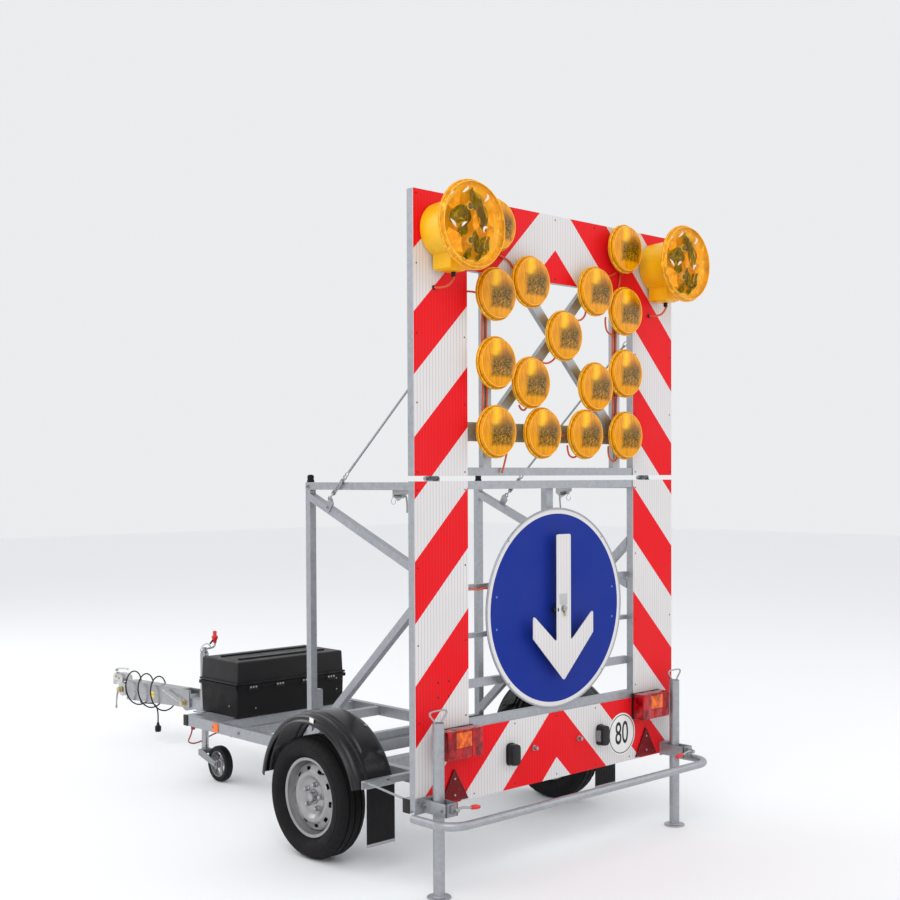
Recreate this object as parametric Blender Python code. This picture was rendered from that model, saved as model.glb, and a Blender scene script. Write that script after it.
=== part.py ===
"""Arrow board trailer: a single-axle chassis with a striped folding board, arrow lamps and a pass-side sign.

Metres, +Z up, +Y towards the towing vehicle. Every size below is given in the trailer's working
frame, whose Y = 0 is the rear face of the striped panels and whose Z = 0 is the ground. The empty
"trailer" shifts that frame so that the origin is on the ground, under the middle of the whole trailer.
"""

import math

import bmesh
import bpy
from mathutils import Matrix, Vector

GAP = 0.0003
PANEL_TO_CENTRE = 1.888
LEFT, RIGHT = -1, 1
SIDES = {LEFT: "left", RIGHT: "right"}

# Striped board
BOARD_HALF = 0.85
COLUMN_INNER = 0.55
PANEL = 0.004
LOWER_BOTTOM, LOWER_TOP = 0.349, 1.692
UPPER_BOTTOM, UPPER_TOP = 1.714, 2.873
BAR_HEIGHT = 0.30
TUBE = 0.035
FRAME_Y = (PANEL + GAP, PANEL + GAP + TUBE)
BACK_Y = FRAME_Y[1] + GAP
FOLD_Y, FOLD_Z = 0.062, 1.703
HINGE_X = 0.70

# Sign and arrow
SIGN_Z = 1.12
SIGN_RADIUS = 0.45
ARROW_Y = -0.045

# Lamps
LAMP_RADIUS = 0.109
LAMP_COLUMN_X = 0.43
LAMP_ROWS = (1.90, 2.19, 2.48, 2.77)
BEACON_X, BEACON_Z = 0.705, 2.715
BEACON_RADIUS = 0.18

# Chassis
RAIL_X = (0.46, 0.50)
RAIL_Z = (0.335, 0.392)
FRONT_BAR_Y = (2.295, 2.335)
MAST_X = (0.5465, 0.5815)
POST_Y = (1.0525, 1.0875)
MAST_TOP = 1.687

# Running gear
WHEEL_Y = 0.7335
TYRE_RADIUS = 0.275
TYRE_X = (0.715, 0.870)
RIM_RADIUS = 0.1795
STUB_RADIUS = 0.0175
WHEEL_STEPS = 28
FENDER_Y, FENDER_Z, FENDER_RADIUS = 0.70, 0.287, 0.378
FENDER_X = (0.67, 0.88)

# Rear support
LEG_X, LEG_Y, LEG_RADIUS = 0.786, -0.066, 0.024
BUMPER_Y, BUMPER_Z, BUMPER_X, BUMPER_RADIUS = -0.225, 0.325, 0.870, 0.019
CLAMP_Z, CLAMP_Y = 0.378, -0.145

# Tool box
BOX_X, BOX_Y, BOX_Z = 0.37, (2.000, 2.366), (0.3925, 0.572)
LID_Z = (0.5755, 0.705)
BOX_WALL = 0.005
LID_AXIS_Y, LID_AXIS_Z = 1.989, 0.574

# Drawbar
REAR_JOINT = Vector((0, 3.08, 0.307))
FRONT_JOINT = Vector((0, 3.87, 0.300))
HANDLE_PIVOT = (3.996, 0.4005)
TONGUE_HALF = 0.030
BEAM_HALF = 0.045

# Jockey wheel
JOCKEY_X, JOCKEY_Y = -0.31, 2.42
JOCKEY_WHEEL_Y, JOCKEY_WHEEL_RADIUS = 2.265, 0.10

# Connection cable
CABLE_RADIUS = 0.0045
CABLE_LOOPS = 3

AXIS_TURN = {
    "X": Matrix.Rotation(math.pi / 2, 4, "Y"),
    "Y": Matrix.Rotation(-math.pi / 2, 4, "X"),
    "Z": Matrix(),
}

LOOKS = {
    "galvanised": ((0.60, 0.62, 0.65), 0.42, 0.85),
    "board": ((0.86, 0.10, 0.10), 0.45, 0.0),
    "sign_blue": ((0.03, 0.08, 0.42), 0.40, 0.0),
    "sign_white": ((0.88, 0.88, 0.86), 0.45, 0.0),
    "amber_lens": ((0.90, 0.42, 0.02), 0.20, 0.0),
    "yellow_housing": ((0.95, 0.52, 0.02), 0.40, 0.0),
    "red_lens": ((0.60, 0.02, 0.02), 0.20, 0.0),
    "black_plastic": ((0.02, 0.02, 0.02), 0.50, 0.0),
    "rubber": ((0.02, 0.02, 0.02), 0.80, 0.0),
    "rim_silver": ((0.62, 0.62, 0.63), 0.35, 0.8),
    "zinc": ((0.70, 0.71, 0.72), 0.30, 0.9),
    "wire_rope": ((0.50, 0.50, 0.50), 0.40, 0.9),
}


def clear_scene():
    for thing in list(bpy.data.objects):
        bpy.data.objects.remove(thing, do_unlink=True)


def make_looks():
    for name, (colour, roughness, metallic) in LOOKS.items():
        material = bpy.data.materials.new(name)
        material.use_nodes = True
        shader = material.node_tree.nodes["Principled BSDF"]
        shader.inputs["Base Color"].default_value = (*colour, 1)
        shader.inputs["Roughness"].default_value = roughness
        shader.inputs["Metallic"].default_value = metallic


# ---------------------------------------------------------------- shapes


def block(x, y, z):
    """A closed box between the given limits."""
    shape = bmesh.new()
    low = Vector((min(x), min(y), min(z)))
    high = Vector((max(x), max(y), max(z)))
    place = Matrix.Translation((low + high) / 2) @ Matrix.Diagonal((*(high - low), 1))
    bmesh.ops.create_cube(shape, size=1, matrix=place)
    return shape


def prism(outline, low, high, axis):
    """An outline of two-axis points, in X, Y, Z order without the axis, extruded along it."""
    places = {"X": lambda a, b: (low, a, b), "Y": lambda a, b: (a, low, b), "Z": lambda a, b: (a, b, low)}
    along = {"X": Vector((1, 0, 0)), "Y": Vector((0, 1, 0)), "Z": Vector((0, 0, 1))}[axis]
    shape = bmesh.new()
    face = shape.faces.new([shape.verts.new(places[axis](a, b)) for a, b in outline])
    grown = bmesh.ops.extrude_face_region(shape, geom=[face])
    moved = [item for item in grown["geom"] if isinstance(item, bmesh.types.BMVert)]
    bmesh.ops.translate(shape, verts=moved, vec=along * (high - low))
    bmesh.ops.recalc_face_normals(shape, faces=shape.faces)
    return shape


def turned(profile, centre, axis, steps):
    """A body turned about an axis through centre. The profile is a closed run of (radius, height) points."""
    shape = bmesh.new()
    rim = [shape.verts.new((radius, 0, height)) for radius, height in profile]
    pairs = list(zip(rim, rim[1:] + rim[:1]))
    edges = [shape.edges.new(pair) for pair in pairs if pair[0].co.x > 0 or pair[1].co.x > 0]
    bmesh.ops.spin(
        shape, geom=rim + edges, cent=(0, 0, 0), axis=(0, 0, 1), angle=math.tau, steps=steps, use_merge=True
    )
    bmesh.ops.remove_doubles(shape, verts=shape.verts, dist=1e-6)
    bmesh.ops.recalc_face_normals(shape, faces=shape.faces)
    shape.transform(Matrix.Translation(centre) @ AXIS_TURN[axis])
    return shape


def disc(radius, low, high, centre, axis, steps=24):
    return turned([(0, low), (radius, low), (radius, high), (0, high)], centre, axis, steps)


def rod(points, radius, steps=10):
    """A round bar swept through the points, with flat ends."""
    points = [Vector(point) for point in points]
    shape = bmesh.new()
    side = None
    rings = []
    for index, point in enumerate(points):
        before = points[max(index - 1, 0)]
        after = points[min(index + 1, len(points) - 1)]
        along = (after - before).normalized()
        if side is None:
            side = along.orthogonal().normalized()
        side = (side - along * side.dot(along)).normalized()
        across = along.cross(side)
        turns = [math.tau * step / steps for step in range(steps)]
        rim = [math.cos(turn) * side + math.sin(turn) * across for turn in turns]
        rings.append([shape.verts.new(point + radius * spoke) for spoke in rim])
    for first, second in zip(rings, rings[1:]):
        for step in range(steps):
            following = (step + 1) % steps
            shape.faces.new((first[step], first[following], second[following], second[step]))
    shape.faces.new(rings[0])
    shape.faces.new(rings[-1])
    bmesh.ops.recalc_face_normals(shape, faces=shape.faces)
    return shape


def brace(start, end, width):
    """Outline of a slanted bar whose ends are cut square to the first axis."""
    half = width / 2 * math.hypot(end[0] - start[0], end[1] - start[1]) / abs(end[0] - start[0])
    below = [(start[0], start[1] - half), (end[0], end[1] - half)]
    return below + [(end[0], end[1] + half), (start[0], start[1] + half)]


def arc(centre, radius, start, end, steps):
    """Points along an arc in a plane, with angles in degrees."""
    turns = [math.radians(start + (end - start) * step / steps) for step in range(steps + 1)]
    return [(centre[0] + radius * math.cos(turn), centre[1] + radius * math.sin(turn)) for turn in turns]


# ---------------------------------------------------------------- nodes


def mesh_object(name, shape, pivot):
    shape.transform(Matrix.Translation(-Vector(pivot)))
    mesh = bpy.data.meshes.new(name)
    shape.to_mesh(mesh)
    shape.free()
    thing = bpy.data.objects.new(name, mesh)
    thing.location = pivot
    thing.parent = bpy.data.objects["trailer"]
    return thing


def helpers(name, shapes, pivot):
    """A hidden collection of the bodies that a Boolean joins to a node or cuts from it."""
    group = bpy.data.collections.new(name)
    bpy.context.scene.collection.children.link(group)
    for index, shape in enumerate(shapes):
        helper = mesh_object(f"{name}_{index}", shape, pivot)
        helper.hide_render = True
        helper.display_type = "WIRE"
        group.objects.link(helper)
    return group


def add(name, shapes, look, pivot=(0, 0, 0), cuts=()):
    """One node: its shapes joined into one body, less the cuts, with its origin at the pivot."""
    thing = mesh_object(name, shapes[0], pivot)
    bpy.context.scene.collection.objects.link(thing)
    thing.data.materials.append(bpy.data.materials[look])
    thing.data.shade_smooth()
    thing.data.set_sharp_from_angle(angle=math.radians(35))
    for operation, others in (("UNION", shapes[1:]), ("DIFFERENCE", cuts)):
        if others:
            modifier = thing.modifiers.new(operation.lower(), "BOOLEAN")
            modifier.operation = operation
            modifier.solver = "EXACT"
            modifier.operand_type = "COLLECTION"
            modifier.collection = helpers(f"{name}_{operation.lower()}", others, pivot)
    return thing


# ---------------------------------------------------------------- chassis


def chassis():
    width = RAIL_X[1]
    shapes = [block((-BOARD_HALF, BOARD_HALF), (BACK_Y, BACK_Y + 0.04), RAIL_Z)]
    for side in SIDES:
        rail = sorted((side * RAIL_X[0], side * RAIL_X[1]))
        shapes.append(block(rail, (BACK_Y + 0.02, FRONT_BAR_Y[0] + 0.02), RAIL_Z))
        # Angle bars that carry the fender, behind and in front of the wheel.
        reach = sorted((side * (RAIL_X[1] - 0.005), side * 0.865))
        shapes.append(block(reach, (0.3265, 0.3320), (0.385, 0.421)))
        shapes.append(block(reach, (0.3020, 0.3315), (0.4160, 0.4212)))
        shapes.append(block(sorted((side * 0.49, side * 0.75)), (1.0800, 1.0850), (0.340, 0.372)))
        # Thin tie rod from the outer fender corner to the end of the rear beam.
        shapes.append(rod([(side * 0.855, 0.322, 0.4186), (side * 0.846, 0.060, 0.386)], 0.005, 8))
    member_z = (RAIL_Z[0] + 0.004, RAIL_Z[1] - 0.004)
    for low in (0.35, 1.005, 1.78, 2.02):
        shapes.append(block((-width + 0.01, width - 0.01), (low, low + 0.04), member_z))
    shapes.append(block((-width, width), FRONT_BAR_Y, RAIL_Z))
    shapes.append(block((-MAST_X[1], MAST_X[1]), POST_Y, (RAIL_Z[1] - 0.006, RAIL_Z[1] + TUBE)))
    # Tongue with the round end that the drawbar clamps to.
    shapes.append(block((-TONGUE_HALF, TONGUE_HALF), (1.795, REAR_JOINT.y), (0.278, RAIL_Z[0] + 0.006)))
    shapes.append(disc(0.05, -TONGUE_HALF, TONGUE_HALF, REAR_JOINT, "X"))
    # Sleeve that clamps the jockey wheel's outer tube.
    sleeve_y = (FRONT_BAR_Y[1] - 0.005, JOCKEY_Y + 0.034)
    shapes.append(block((JOCKEY_X - 0.036, JOCKEY_X + 0.036), sleeve_y, (0.345, 0.386)))
    bore = disc(0.0248, 0.30, 0.42, (JOCKEY_X, JOCKEY_Y, 0), "Z")
    add("chassis_frame", shapes, "galvanised", cuts=[bore])


def axle():
    beam_z = (0.268, RAIL_Z[0] - GAP)
    shapes = [block((-0.60, 0.60), (0.860, 0.920), beam_z)]
    hub_z = TYRE_RADIUS
    for side in SIDES:
        rear = WHEEL_Y - 0.03
        arm = [(0.925, 0.333), (0.855, 0.333), (rear, 0.305), (rear, 0.247), (0.925, 0.262)]
        low, high = sorted((side * 0.590, side * 0.640))
        shapes.append(prism(arm, low, high, "X"))
        stub = sorted((side * 0.61, side * 0.790))
        shapes.append(disc(STUB_RADIUS, *stub, (0, WHEEL_Y, hub_z), "X"))
    add("axle_beam", shapes, "galvanised")


def wheel(side):
    """Rim with its hub, and the tyre seated between its flanges. Profiles run along X from the inner face."""
    name = SIDES[side]
    centre = (0, WHEEL_Y, TYRE_RADIUS)
    inner, outer = 0.744, 0.841
    barrel, bore = 0.160, 0.0186
    rim = [
        (RIM_RADIUS, inner), (RIM_RADIUS, inner + 0.005), (0.1678, inner + 0.005), (0.1678, outer - 0.005),
        (RIM_RADIUS, outer - 0.005), (RIM_RADIUS, outer), (barrel, outer), (0.152, 0.812), (0.100, 0.812),
        (0.070, 0.798), (0.045, 0.798), (0.045, 0.815), (0.030, 0.826), (bore, 0.826), (bore, 0.665),
        (0.055, 0.665), (0.055, 0.785), (0.075, 0.785), (0.105, 0.800), (0.150, 0.800), (barrel, inner),
    ]
    # The bead meets the tyre's wall just inside the flange edge, and stays clear of it.
    tyre = [
        (0.1683, inner + 0.0055), (0.1803, inner + 0.0053), (0.205, TYRE_X[0] + 0.004), (0.225, TYRE_X[0]),
        (0.258, TYRE_X[0] + 0.006), (0.271, TYRE_X[0] + 0.020), (TYRE_RADIUS, TYRE_X[0] + 0.038),
        (TYRE_RADIUS, TYRE_X[1] - 0.038), (0.271, TYRE_X[1] - 0.020), (0.258, TYRE_X[1] - 0.006),
        (0.225, TYRE_X[1]), (0.205, TYRE_X[1] - 0.004), (0.1803, outer - 0.0053), (0.1683, outer - 0.0055),
    ]
    rim = [(radius, side * height) for radius, height in rim]
    tyre = [(radius, side * height) for radius, height in tyre]
    add(f"rim_{name}", [turned(rim, centre, "X", WHEEL_STEPS)], "rim_silver", centre)
    add(f"tyre_{name}", [turned(tyre, centre, "X", WHEEL_STEPS)], "rubber", centre)


def fender(side):
    """Arched shell with a turned-down outer lip, and the rubber flap that hangs from its rear edge."""
    start, end, steps = 8, 165, 14
    inner = FENDER_RADIUS - 0.006
    lip = FENDER_RADIUS - 0.028
    near, far = FENDER_X
    profile = [
        (FENDER_RADIUS - 0.008, near), (FENDER_RADIUS, near + 0.03), (FENDER_RADIUS, far - 0.02),
        (FENDER_RADIUS - 0.012, far), (lip, far), (lip, far - 0.006), (inner - 0.010, far - 0.006),
        (inner, far - 0.024), (inner, near + 0.03), (inner - 0.008, near),
    ]
    shape = bmesh.new()
    first = [shape.verts.new((side * x, radius, 0)) for radius, x in profile]
    face = shape.faces.new(first)
    bmesh.ops.spin(
        shape, geom=[face], cent=(0, 0, 0), axis=(1, 0, 0), angle=math.radians(end - start), steps=steps
    )
    bmesh.ops.recalc_face_normals(shape, faces=shape.faces)
    turn = Matrix.Rotation(math.radians(start), 4, "X")
    shape.transform(Matrix.Translation((0, FENDER_Y, FENDER_Z)) @ turn)
    flap = block(sorted((side * 0.672, side * 0.828)), (0.3390, 0.3440), (0.125, 0.400))
    add(f"fender_{SIDES[side]}", [shape, flap], "black_plastic")


# ---------------------------------------------------------------- rear support


def bumper():
    """Round rear bar with a bent corner each side, and the two brackets that hold the support legs."""
    bend = 0.10
    path = [(-BUMPER_X, -0.004)]
    path += arc((-BUMPER_X + bend, BUMPER_Y + bend), bend, 180, 270, 6)
    path += arc((BUMPER_X - bend, BUMPER_Y + bend), bend, 270, 360, 6)
    path += [(BUMPER_X, -0.004)]
    shapes = [rod([(x, y, BUMPER_Z) for x, y in path], BUMPER_RADIUS, 12)]
    for side in SIDES:
        plate_z = (CLAMP_Z - 0.036, CLAMP_Z + 0.036)
        nut_z = (CLAMP_Z - 0.016, CLAMP_Z + 0.016)
        shapes.append(block(sorted((side * 0.752, side * 0.862)), (-0.0070, -GAP * 2), (0.318, 0.430)))
        for inner, outer in ((0.7535, 0.7605), (0.8115, 0.8185)):
            shapes.append(block(sorted((side * inner, side * outer)), (CLAMP_Y, -0.0040), plate_z))
        shapes.append(block(sorted((side * 0.7535, side * 0.8185)), (CLAMP_Y, CLAMP_Y + 0.007), plate_z))
        shapes.append(block(sorted((side * 0.770, side * 0.802)), (CLAMP_Y - 0.016, CLAMP_Y + 0.003), nut_z))
    add("bumper_bar", shapes, "galvanised")


def support_leg(side):
    centre = (side * LEG_X, LEG_Y, 0)
    top = 0.713
    shapes = [
        disc(LEG_RADIUS, 0.003, top, centre, "Z", 20),
        disc(0.050, 0, 0.006, centre, "Z"),
    ]
    x, y = side * LEG_X, LEG_Y
    half_loop = [(0.017, top - 0.020), (0.018, top + 0.010), (0.030, top + 0.040), (0.024, top + 0.049)]
    loop = [(x - reach, y, z) for reach, z in half_loop]
    loop += [(x + reach, y, z) for reach, z in reversed(half_loop)]
    shapes.append(rod(loop, 0.004, 8))
    add(f"support_leg_{SIDES[side]}", shapes, "galvanised", centre)


def clamp_handle(side):
    """Clamping screw with its side lever, which lies across the board towards the middle."""
    centre = Vector((side * LEG_X, CLAMP_Y - 0.016 - GAP, CLAMP_Z))
    hub = disc(0.011, -0.022, 0, centre, "Y", 12)
    start = centre + Vector((0, -0.012, 0))
    elbow = start + Vector((-side * 0.080, 0, -0.004))
    lever = rod([start, elbow + Vector((-side * 0.005, 0, 0))], 0.0055, 8)
    grip = rod([elbow, elbow + Vector((-side * 0.052, 0, -0.006))], 0.010, 10)
    add(f"clamp_handle_{SIDES[side]}", [hub, lever, grip], "zinc", centre)


# ---------------------------------------------------------------- boards


def mirrored_blocks(x, y, z):
    return [block(sorted((side * x[0], side * x[1])), y, z) for side in SIDES]


def lower_board():
    top, bottom = LOWER_TOP, LOWER_BOTTOM
    shapes = mirrored_blocks((BOARD_HALF - TUBE, BOARD_HALF), FRAME_Y, (bottom, top))
    shapes += mirrored_blocks((COLUMN_INNER, COLUMN_INNER + TUBE), FRAME_Y, (bottom, top))
    shapes.append(block((-BOARD_HALF, BOARD_HALF), FRAME_Y, (top - TUBE, top)))
    shapes.append(block((-BOARD_HALF, BOARD_HALF), FRAME_Y, (bottom, bottom + TUBE)))
    across = (-COLUMN_INNER - 0.01, COLUMN_INNER + 0.01)
    shapes.append(block(across, FRAME_Y, (bottom + BAR_HEIGHT, bottom + BAR_HEIGHT + TUBE)))
    rung_y = (0.038, 0.064)
    for centre, height in ((1.238, 0.025), (1.032, 0.020), (0.826, 0.035)):
        shapes.append(block(across, rung_y, (centre - height / 2, centre + height / 2)))
    shapes.append(block((-0.0225, 0.0225), (0.038, 0.070), (0.660, top - 0.005)))
    # Hinge lugs with their pins, on the back of the top tube.
    for side in SIDES:
        for offset in (-0.018, 0.018):
            x = sorted((side * (HINGE_X + offset - 0.004), side * (HINGE_X + offset + 0.004)))
            shapes.append(block(x, (0.036, 0.0705), (1.662, 1.698)))
            shapes.append(disc(0.0110, *x, (0, FOLD_Y, FOLD_Z), "X", 16))
        pin = sorted((side * (HINGE_X - 0.022), side * (HINGE_X + 0.022)))
        shapes.append(disc(0.0060, *pin, (0, FOLD_Y, FOLD_Z), "X", 16))
    add("lower_board_frame", shapes, "galvanised")
    for side in SIDES:
        x = sorted((side * (COLUMN_INNER + GAP), side * BOARD_HALF))
        add(f"lower_panel_{SIDES[side]}", [block(x, (0, PANEL), (bottom, top))], "board")
    bar = block((-COLUMN_INNER, COLUMN_INNER), (0, PANEL), (bottom, bottom + BAR_HEIGHT))
    add("lower_panel_bottom", [bar], "board")


def upper_board():
    pivot = (0, FOLD_Y, FOLD_Z)
    top, bottom = UPPER_TOP, UPPER_BOTTOM
    bar_y = (FRAME_Y[0] + 0.0005, FRAME_Y[0] + 0.026)
    inner = COLUMN_INNER + 0.01
    ledge = top - BAR_HEIGHT
    shapes = mirrored_blocks((BOARD_HALF - TUBE, BOARD_HALF), FRAME_Y, (bottom, top))
    shapes += mirrored_blocks((COLUMN_INNER, COLUMN_INNER + TUBE), FRAME_Y, (bottom, top))
    shapes.append(block((-BOARD_HALF, BOARD_HALF), FRAME_Y, (bottom, bottom + TUBE)))
    shapes.append(block((-BOARD_HALF, BOARD_HALF), FRAME_Y, (top - TUBE, top)))
    shapes.append(block((-inner, inner), FRAME_Y, (ledge + 0.002, ledge + TUBE)))
    # Bars that carry the lamps: two uprights, a cross and the lower bar.
    bar_x = (LAMP_COLUMN_X - 0.025, LAMP_COLUMN_X + 0.025)
    shapes += mirrored_blocks(bar_x, bar_y, (bottom + 0.01, ledge + 0.02))
    shapes.append(block((-inner, inner), bar_y, (LAMP_ROWS[0] - 0.04, LAMP_ROWS[0] + 0.04)))
    rise = (LAMP_ROWS[3] - LAMP_ROWS[0]) / (2 * LAMP_COLUMN_X)
    end_z = ledge + 0.025
    end_x = (end_z - LAMP_ROWS[0]) / rise - LAMP_COLUMN_X
    for side in SIDES:
        outline = brace((-side * (LAMP_COLUMN_X - 0.01), LAMP_ROWS[0] + 0.01), (side * end_x, end_z), 0.048)
        thin = 0.0004 * (side + 1)
        shapes.append(prism(outline, bar_y[0] + thin, bar_y[1] + thin, "Y"))
    for side in SIDES:
        x = sorted((side * (HINGE_X - 0.0130), side * (HINGE_X + 0.0130)))
        shapes.append(block(x, (0.036, 0.0660), (1.7085, 1.745)))
        shapes.append(disc(0.0110, *x, (0, FOLD_Y, FOLD_Z), "X", 16))
    bore = disc(0.0066, -0.80, 0.80, (0, FOLD_Y, FOLD_Z), "X", 16)
    add("upper_board_frame", shapes, "galvanised", pivot, cuts=[bore])
    for side in SIDES:
        x = sorted((side * (COLUMN_INNER + GAP), side * BOARD_HALF))
        add(f"upper_panel_{SIDES[side]}", [block(x, (0, PANEL), (bottom, top))], "board", pivot)
    bar = block((-COLUMN_INNER, COLUMN_INNER), (0, PANEL), (ledge, top))
    add("upper_panel_top", [bar], "board", pivot)


def sign():
    centre = (0, 0, SIGN_Z)
    rim = SIGN_RADIUS
    profile = [
        (0, -0.004), (rim - 0.004, -0.004), (rim - 0.004, -0.008), (rim, -0.008),
        (rim, 0.0035), (rim - 0.004, 0.0035), (rim - 0.004, -0.001), (0, -0.001),
    ]
    shapes = [turned(profile, centre, "Y", 36)]
    for offset in (-0.19, 0.19):
        z = (SIGN_Z + offset - 0.02, SIGN_Z + offset + 0.02)
        shapes.append(block((-0.30, 0.30), (-0.0015, 0.038 - GAP), z))
    add("sign_disc", shapes, "sign_blue", centre)


def arrow():
    pivot = (0, 0, SIGN_Z)
    shaft, barb, top = 0.0465, 0.2000, 0.332
    half = [(shaft, top), (shaft, -0.150), (barb - 0.006, -0.023)]
    half += [(barb, -0.028), (barb, -0.122), (0.008, -0.317)]
    outline = half + [(-x, z) for x, z in reversed(half)]
    outline = [(x, SIGN_Z + z) for x, z in outline]
    plate = prism(outline, ARROW_Y - 0.002, ARROW_Y + 0.002, "Y")
    hub = disc(0.022, ARROW_Y - 0.012, -0.004 - GAP, pivot, "Y", 16)
    add("sign_arrow", [plate, hub], "sign_white", pivot)


# ---------------------------------------------------------------- lamps


def lamp_places():
    """Centres (x, z) of the arrow lamps: two columns, the cross between them and the lower row."""
    places = [(side * LAMP_COLUMN_X, z) for z in LAMP_ROWS for side in SIDES]
    half_x = LAMP_COLUMN_X / 2
    middle = (LAMP_ROWS[0] + LAMP_ROWS[3]) / 2
    half_z = (LAMP_ROWS[3] - LAMP_ROWS[0]) / 4
    places += [(side * half_x, middle + part * half_z) for part in (-1, 1) for side in SIDES]
    places += [(0, middle)]
    places += [(side * LAMP_COLUMN_X / 3, LAMP_ROWS[0]) for side in SIDES]
    return sorted(places, key=lambda place: (-place[1], place[0]))


def arrow_lamps():
    radius = LAMP_RADIUS
    for number, (x, z) in enumerate(lamp_places(), 1):
        back = -GAP * 2 if z > UPPER_TOP - BAR_HEIGHT else FRAME_Y[0]
        profile = [
            (0, -0.075), (0.060, -0.069), (0.095, -0.057), (radius, -0.049), (radius, -0.042),
            (0.092, -0.020), (0.072, -0.012), (0.046, -0.010), (0.046, -GAP * 2), (0.016, -GAP * 2),
            (0.016, back), (0, back),
        ]
        if back < 0:
            del profile[-3:]
            profile.append((0, back))
        add(f"arrow_lamp_{number:02d}", [turned(profile, (x, 0, z), "Y", 16)], "amber_lens", (x, 0, z))


def warning_lamp(side):
    centre = (side * BEACON_X, 0, BEACON_Z)
    radius = BEACON_RADIUS
    profile = [
        (0, -0.237), (0.070, -0.231), (0.130, -0.215), (0.170, -0.195), (radius, -0.193), (radius, -0.177),
        (0.120, -0.165), (0.114, -0.030), (0.105, -GAP * 2), (0, -GAP * 2),
    ]
    x, _, z = centre
    foot = block((x - 0.052, x + 0.052), (-0.120, -0.012), (z - 0.166, z - 0.085))
    add(f"warning_lamp_{SIDES[side]}", [turned(profile, centre, "Y", 28), foot], "yellow_housing", centre)


def tail_light(side):
    inner, outer, front, corner = 0.535, 0.740, -0.074, 0.008
    outline = [(inner, -0.001), (outer, -0.001), (outer, front + corner), (outer - corner, front)]
    outline += [(inner + corner, front), (inner, front + corner)]
    outline = [(side * x, y) for x, y in outline]
    add(f"tail_light_{SIDES[side]}", [prism(outline, 0.545, 0.668, "Z")], "red_lens")


# ---------------------------------------------------------------- mast and guy ropes


def mast_frame(side):
    """Side frame that steadies the board: a post, a top rail and two crossing braces."""
    x = sorted((side * MAST_X[0], side * MAST_X[1]))
    foot = RAIL_Z[1] + TUBE + GAP
    shapes = [
        block(x, POST_Y, (foot, MAST_TOP)),
        block(x, (BACK_Y, POST_Y[0] + 0.01), (MAST_TOP - TUBE, MAST_TOP)),
    ]
    post = POST_Y[0] + 0.005
    for start, end in (((post, 1.617), (BACK_Y, 1.190)), ((post, 0.460), (BACK_Y, 1.395))):
        shapes.append(prism(brace(start, end, TUBE), *x, "X"))
    # Eye for the guy rope, on the outer face of the upper brace.
    eye = sorted((side * (MAST_X[1] - 0.002), side * (MAST_X[1] + 0.005)))
    plate = [(0.870, 1.585), (0.905, 1.545), (0.925, 1.575), (0.905, 1.612), (0.885, 1.618)]
    shapes.append(prism(plate, *eye, "X"))
    add(f"mast_frame_{SIDES[side]}", shapes, "galvanised")


def guy_rope(side):
    start = Vector((side * 0.5925, 0.890, 1.608))
    end = Vector((side * 0.5675, BACK_Y + 0.006, 2.360))
    points = [start.lerp(end, step / 8) for step in range(9)]
    tube(f"guy_rope_{SIDES[side]}", points, 0.0035, 2, "wire_rope")


def tube(name, points, radius, resolution, look):
    curve = bpy.data.curves.new(name, "CURVE")
    curve.dimensions = "3D"
    curve.bevel_depth = radius
    curve.bevel_resolution = resolution
    curve.use_fill_caps = True
    spline = curve.splines.new("POLY")
    spline.points.add(len(points) - 1)
    for place, point in zip(spline.points, points):
        place.co = (*point, 1)
    curve.materials.append(bpy.data.materials[look])
    thing = bpy.data.objects.new(name, curve)
    thing.parent = bpy.data.objects["trailer"]
    bpy.context.scene.collection.objects.link(thing)


# ---------------------------------------------------------------- tool box


def open_tray(x, y, z, wall, flange, flange_z, closed_at):
    """A rectangular shell with a flange round its open edge. closed_at is "bottom" or "top"."""
    body = block((-x, x), y, z)
    collar = block((-x - flange, x + flange), (y[0] - flange, y[1] + flange), flange_z)
    hollow_z = (z[0] + wall, z[1] + 0.05) if closed_at == "bottom" else (z[0] - 0.05, z[1] - wall)
    hollow = block((-x + wall, x - wall), (y[0] + wall, y[1] - wall), hollow_z)
    return [body, collar], [hollow]


def tool_box():
    shapes, cuts = open_tray(BOX_X, BOX_Y, BOX_Z, BOX_WALL, 0.008, (BOX_Z[1] - 0.016, BOX_Z[1]), "bottom")
    add("tool_box", shapes, "black_plastic", cuts=cuts)
    flange_z = (LID_Z[0], LID_Z[0] + 0.012)
    shapes, cuts = open_tray(BOX_X - 0.004, BOX_Y, LID_Z, BOX_WALL, 0.008, flange_z, "top")
    add("tool_box_lid", shapes, "black_plastic", (0, LID_AXIS_Y, LID_AXIS_Z), cuts=cuts)


# ---------------------------------------------------------------- drawbar and coupling


def drawbar():
    """Tapered beam, forked round the tongue at its rear end and with a round eye at its front end."""
    outline = [(3.020, 0.283), (3.800, 0.239), (3.800, 0.368), (3.020, 0.393)]
    shapes = [prism(outline, -BEAM_HALF, BEAM_HALF, "X")]
    ear = 0.025
    y, z = FRONT_JOINT.y, FRONT_JOINT.z
    shapes.append(block((-ear, ear), (3.790, y), (z - 0.040, z + 0.040)))
    shapes.append(disc(0.045, -ear, ear, FRONT_JOINT, "X"))
    # Gland on the right side, where the connection cable comes out.
    shapes.append(disc(0.010, BEAM_HALF - 0.002, BEAM_HALF + 0.015, (0, 3.220, 0.335), "X", 12))
    slot = block((-TONGUE_HALF - GAP, TONGUE_HALF + GAP), (2.95, 3.140), (0.20, 0.45))
    add("drawbar_beam", shapes, "zinc", REAR_JOINT, cuts=[slot])


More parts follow.
